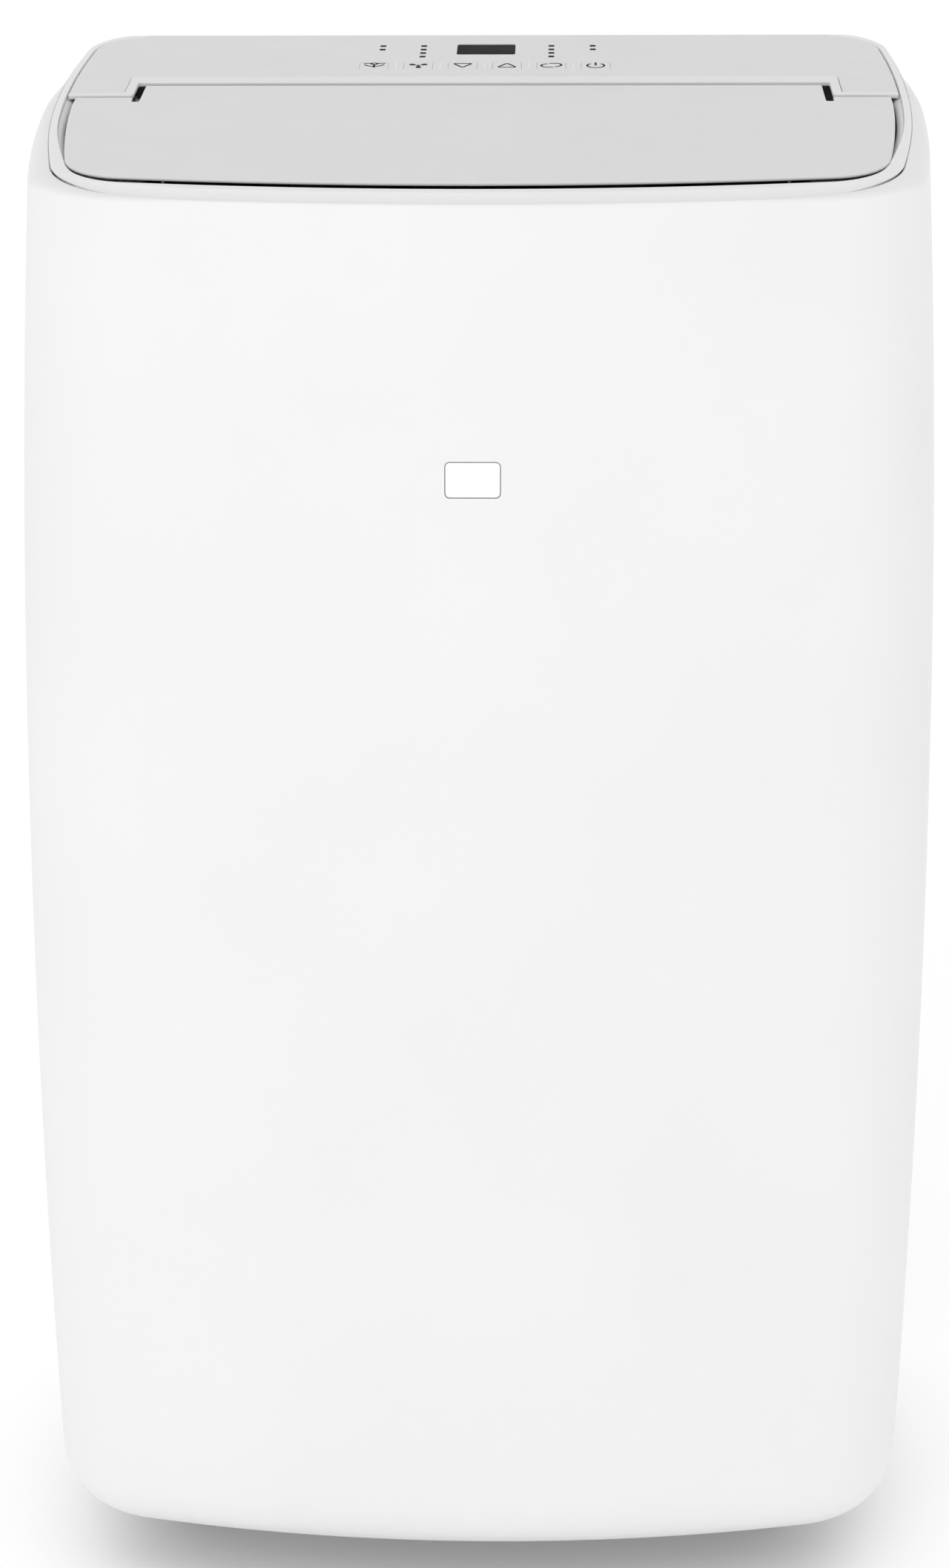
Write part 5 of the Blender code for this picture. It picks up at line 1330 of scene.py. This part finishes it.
# ---- coils
FIN_HALF = 0.00012
COIL_PLATE = 0.0012
TUBE_PITCH = 0.021


def make_coil(node, fins):
    """A stack of thin upright fins between end plates, with the hairpin tubes through them."""
    low, high = node_box(node)
    inset = 0.0010
    parts = [box_parts(low, (low.x + COIL_PLATE, high.y, high.z)),
             box_parts((high.x - COIL_PLATE, low.y, low.z), high)]
    pitch = (high.x - low.x - 2 * COIL_PLATE) / (fins + 1)
    for index in range(1, fins + 1):
        x = low.x + COIL_PLATE + pitch * index
        parts.append(box_parts((x - FIN_HALF, low.y + inset, low.z + inset),
                               (x + FIN_HALF, high.y - inset, high.z - inset)))
    finish_mesh(node + "_fins", *gather(parts), "fins", "cabinet", (node,))
    tubes = []
    profile = rod(0.0036, low.x - 0.0004, high.x + 0.0004)
    for index in range(int((high.z - low.z - 0.016) / TUBE_PITCH) + 1):
        z = low.z + 0.012 + TUBE_PITCH * index
        for y in (low.y + 0.011, high.y - 0.011):
            tubes.append(turned(profile, "X", (0.0, y, z), 14))
    finish_mesh(node + "_tubes", *gather(tubes), "copper", "cabinet")


# ---- castors
FORK_THICK = 0.0020
FORK_FRONT = 0.0090
FORK_REAR = CASTOR_TRAIL + 0.0060
FORK_PLATE = 0.0030


def make_fork(name, x, y):
    """The swivel fork: a plate with its stem, two cheeks and the axle."""
    cheek = CASTOR_WIDTH / 2.0 + 0.0010
    reach = cheek + FORK_THICK
    plate_low = CASTOR_FORK_TOP - FORK_PLATE
    stem_top = CASTOR_FORK_TOP + 0.0090
    plate = softened(rectangle(x - reach, x + reach, y - FORK_FRONT, y + FORK_REAR), 0.0030)
    stem = [(0.0, plate_low + 0.001), (0.0038, plate_low + 0.001), (0.0038, stem_top - 0.0005),
            (0.0032, stem_top), (0.0, stem_top)]
    parts = [prism(plate, along_z, plate_low, CASTOR_FORK_TOP, 0.0006),
             turned(stem, "Z", (x, y, 0.0), 28)]
    side_view = [(y + CASTOR_TRAIL - 0.0050, 0.0130), (y + CASTOR_TRAIL + 0.0050, 0.0130),
                 (y + FORK_REAR, plate_low + 0.001), (y - FORK_FRONT, plate_low + 0.001)]
    for side in (-1.0, 1.0):
        inner, outer = sorted((x + side * cheek, x + side * reach))
        parts.append(prism(softened(side_view, 0.0025), along_x, inner, outer, 0.0004))
    axle = rod(0.0020, x - cheek - 0.001, x + cheek + 0.001)
    parts.append(turned(axle, "X", (0.0, y + CASTOR_TRAIL, CASTOR_AXLE_Z), 20))
    finish_mesh("castor_fork_" + name, *gather(parts), "dark", "castor_" + name,
                ("fork_" + name,))


def make_wheel(name, x, y):
    """A wheel with a crowned tread and a dished hub."""
    half = CASTOR_WIDTH / 2.0
    dish = half - 0.0020
    tread = CASTOR_AXLE_Z
    near_side = [(0.0026, -half), (0.0060, -half), (0.0070, -dish), (tread - 0.0045, -dish),
                 (tread - 0.0035, -half), (tread - 0.0010, -half), (tread, -dish)]
    section = near_side + [(radius, -place) for radius, place in reversed(near_side)]
    corners = [(radius, x + place) for radius, place in section]
    wheel = turned(rounded_profile(corners, 0.0006), "X", (0.0, y + CASTOR_TRAIL, CASTOR_AXLE_Z), 56)
    finish_mesh("castor_wheel_" + name, *wheel, "rubber", "roller_" + name, ("wheel_" + name,))


# ---- stage, light and camera
def make_stage():
    mesh = bpy.data.meshes.new("floor")
    reach = 80.0
    corners = rectangle(-reach, reach, -reach, reach)
    mesh.from_pydata([(x, y, 0.0) for x, y in corners], [], [(0, 1, 2, 3)])
    floor = bpy.data.objects.new("floor", mesh)
    bpy.context.scene.collection.objects.link(floor)
    material, _, shader = new_material("floor", (0.95, 0.95, 0.95), 0.9)
    shader.inputs["Specular IOR Level"].default_value = 0.1
    shader.inputs["Emission Color"].default_value = (1.0, 1.0, 1.0, 1.0)
    shader.inputs["Emission Strength"].default_value = 0.19
    mesh.materials.append(material)


def add_area(name, location, target, size, energy):
    light = bpy.data.lights.new(name, "AREA")
    light.shape = "RECTANGLE"
    light.size, light.size_y = size
    light.energy = energy
    lamp = bpy.data.objects.new(name, light)
    bpy.context.scene.collection.objects.link(lamp)
    lamp.location = location
    lamp.rotation_euler = (Vector(target) - Vector(location)).to_track_quat("-Z", "Y").to_euler()


def make_lights():
    """A white studio, a little dimmer overhead than all round, with one soft lamp low in front."""
    world = bpy.data.worlds.new("studio")
    bpy.context.scene.world = world
    world.use_nodes = True
    tree = world.node_tree
    place = add_node(tree, "ShaderNodeTexCoord")
    split = add_node(tree, "ShaderNodeSeparateXYZ")
    tree.links.new(place.outputs["Generated"], split.inputs["Vector"])
    background = tree.nodes["Background"]
    background.inputs["Color"].default_value = (1.0, 1.0, 1.0, 1.0)
    ramp_value(tree, split.outputs["Z"], background.inputs["Strength"], 1.04, 0.78, 0.05, 0.9)
    add_area("front_lamp", (-0.9, -3.0, 1.5), (0.0, 0.0, 0.40), (1.8, 1.4), 13.0)
    bpy.context.scene.view_settings.view_transform = "Standard"


def make_camera():
    data = bpy.data.cameras.new("camera")
    camera = bpy.data.objects.new("camera", data)
    bpy.context.scene.collection.objects.link(camera)
    back = Vector((math.sin(CAMERA_AZIMUTH) * math.cos(CAMERA_ELEVATION),
                   -math.cos(CAMERA_AZIMUTH) * math.cos(CAMERA_ELEVATION), math.sin(CAMERA_ELEVATION)))
    camera.location = CAMERA_AIM + back * CAMERA_DISTANCE
    camera.rotation_euler = (-back).to_track_quat("-Z", "Y").to_euler()
    data.sensor_width = SENSOR
    data.lens = LENS
    data.shift_x = SHIFT_X
    data.shift_y = SHIFT_Y
    data.clip_end = 300.0
    bpy.context.scene.camera = camera


# ---- assembly
def dress_frame():
    """Gives every CAD node that stays the material of its slot."""
    for part in frame["record"]["subparts"]:
        node = frame["nodes"][part["node"]]
        node.data.materials.clear()
        node.data.materials.append(material_of_slot(part["material_slot"]))
        node.data.shade_smooth()
        node.data.set_sharp_from_angle(angle=SHARP_ANGLE)


def main():
    make_materials()
    dress_frame()
    make_camera()
    make_lights()
    make_stage()
    make_front_shell()
    make_receiver_window()
    make_rear_shell()
    make_top_ring()
    make_panel_plate()
    make_panel_ears()
    make_panel_trim()
    make_display()
    make_indicators()
    make_key_dividers()
    make_keys()
    make_flap()
    make_grille("upper_grille", 19)
    make_grille("lower_grille", 15)
    make_filter("upper_filter")
    make_filter("lower_filter")
    make_exhaust_ring()
    make_drain_plug("upper_drain_cap", UPPER_DRAIN)
    make_drain_plug("lower_drain_cap", LOWER_DRAIN)
    make_cord_gland()
    make_grip("left_handle_cup", -1.0)
    make_grip("right_handle_cup", 1.0)
    make_screws()
    make_coil("evaporator_coil", 110)
    make_coil("condenser_coil", 120)
    for name, (x, y) in CASTOR_PLACES.items():
        make_fork(name, x, y)
        make_wheel(name, x, y)


main()
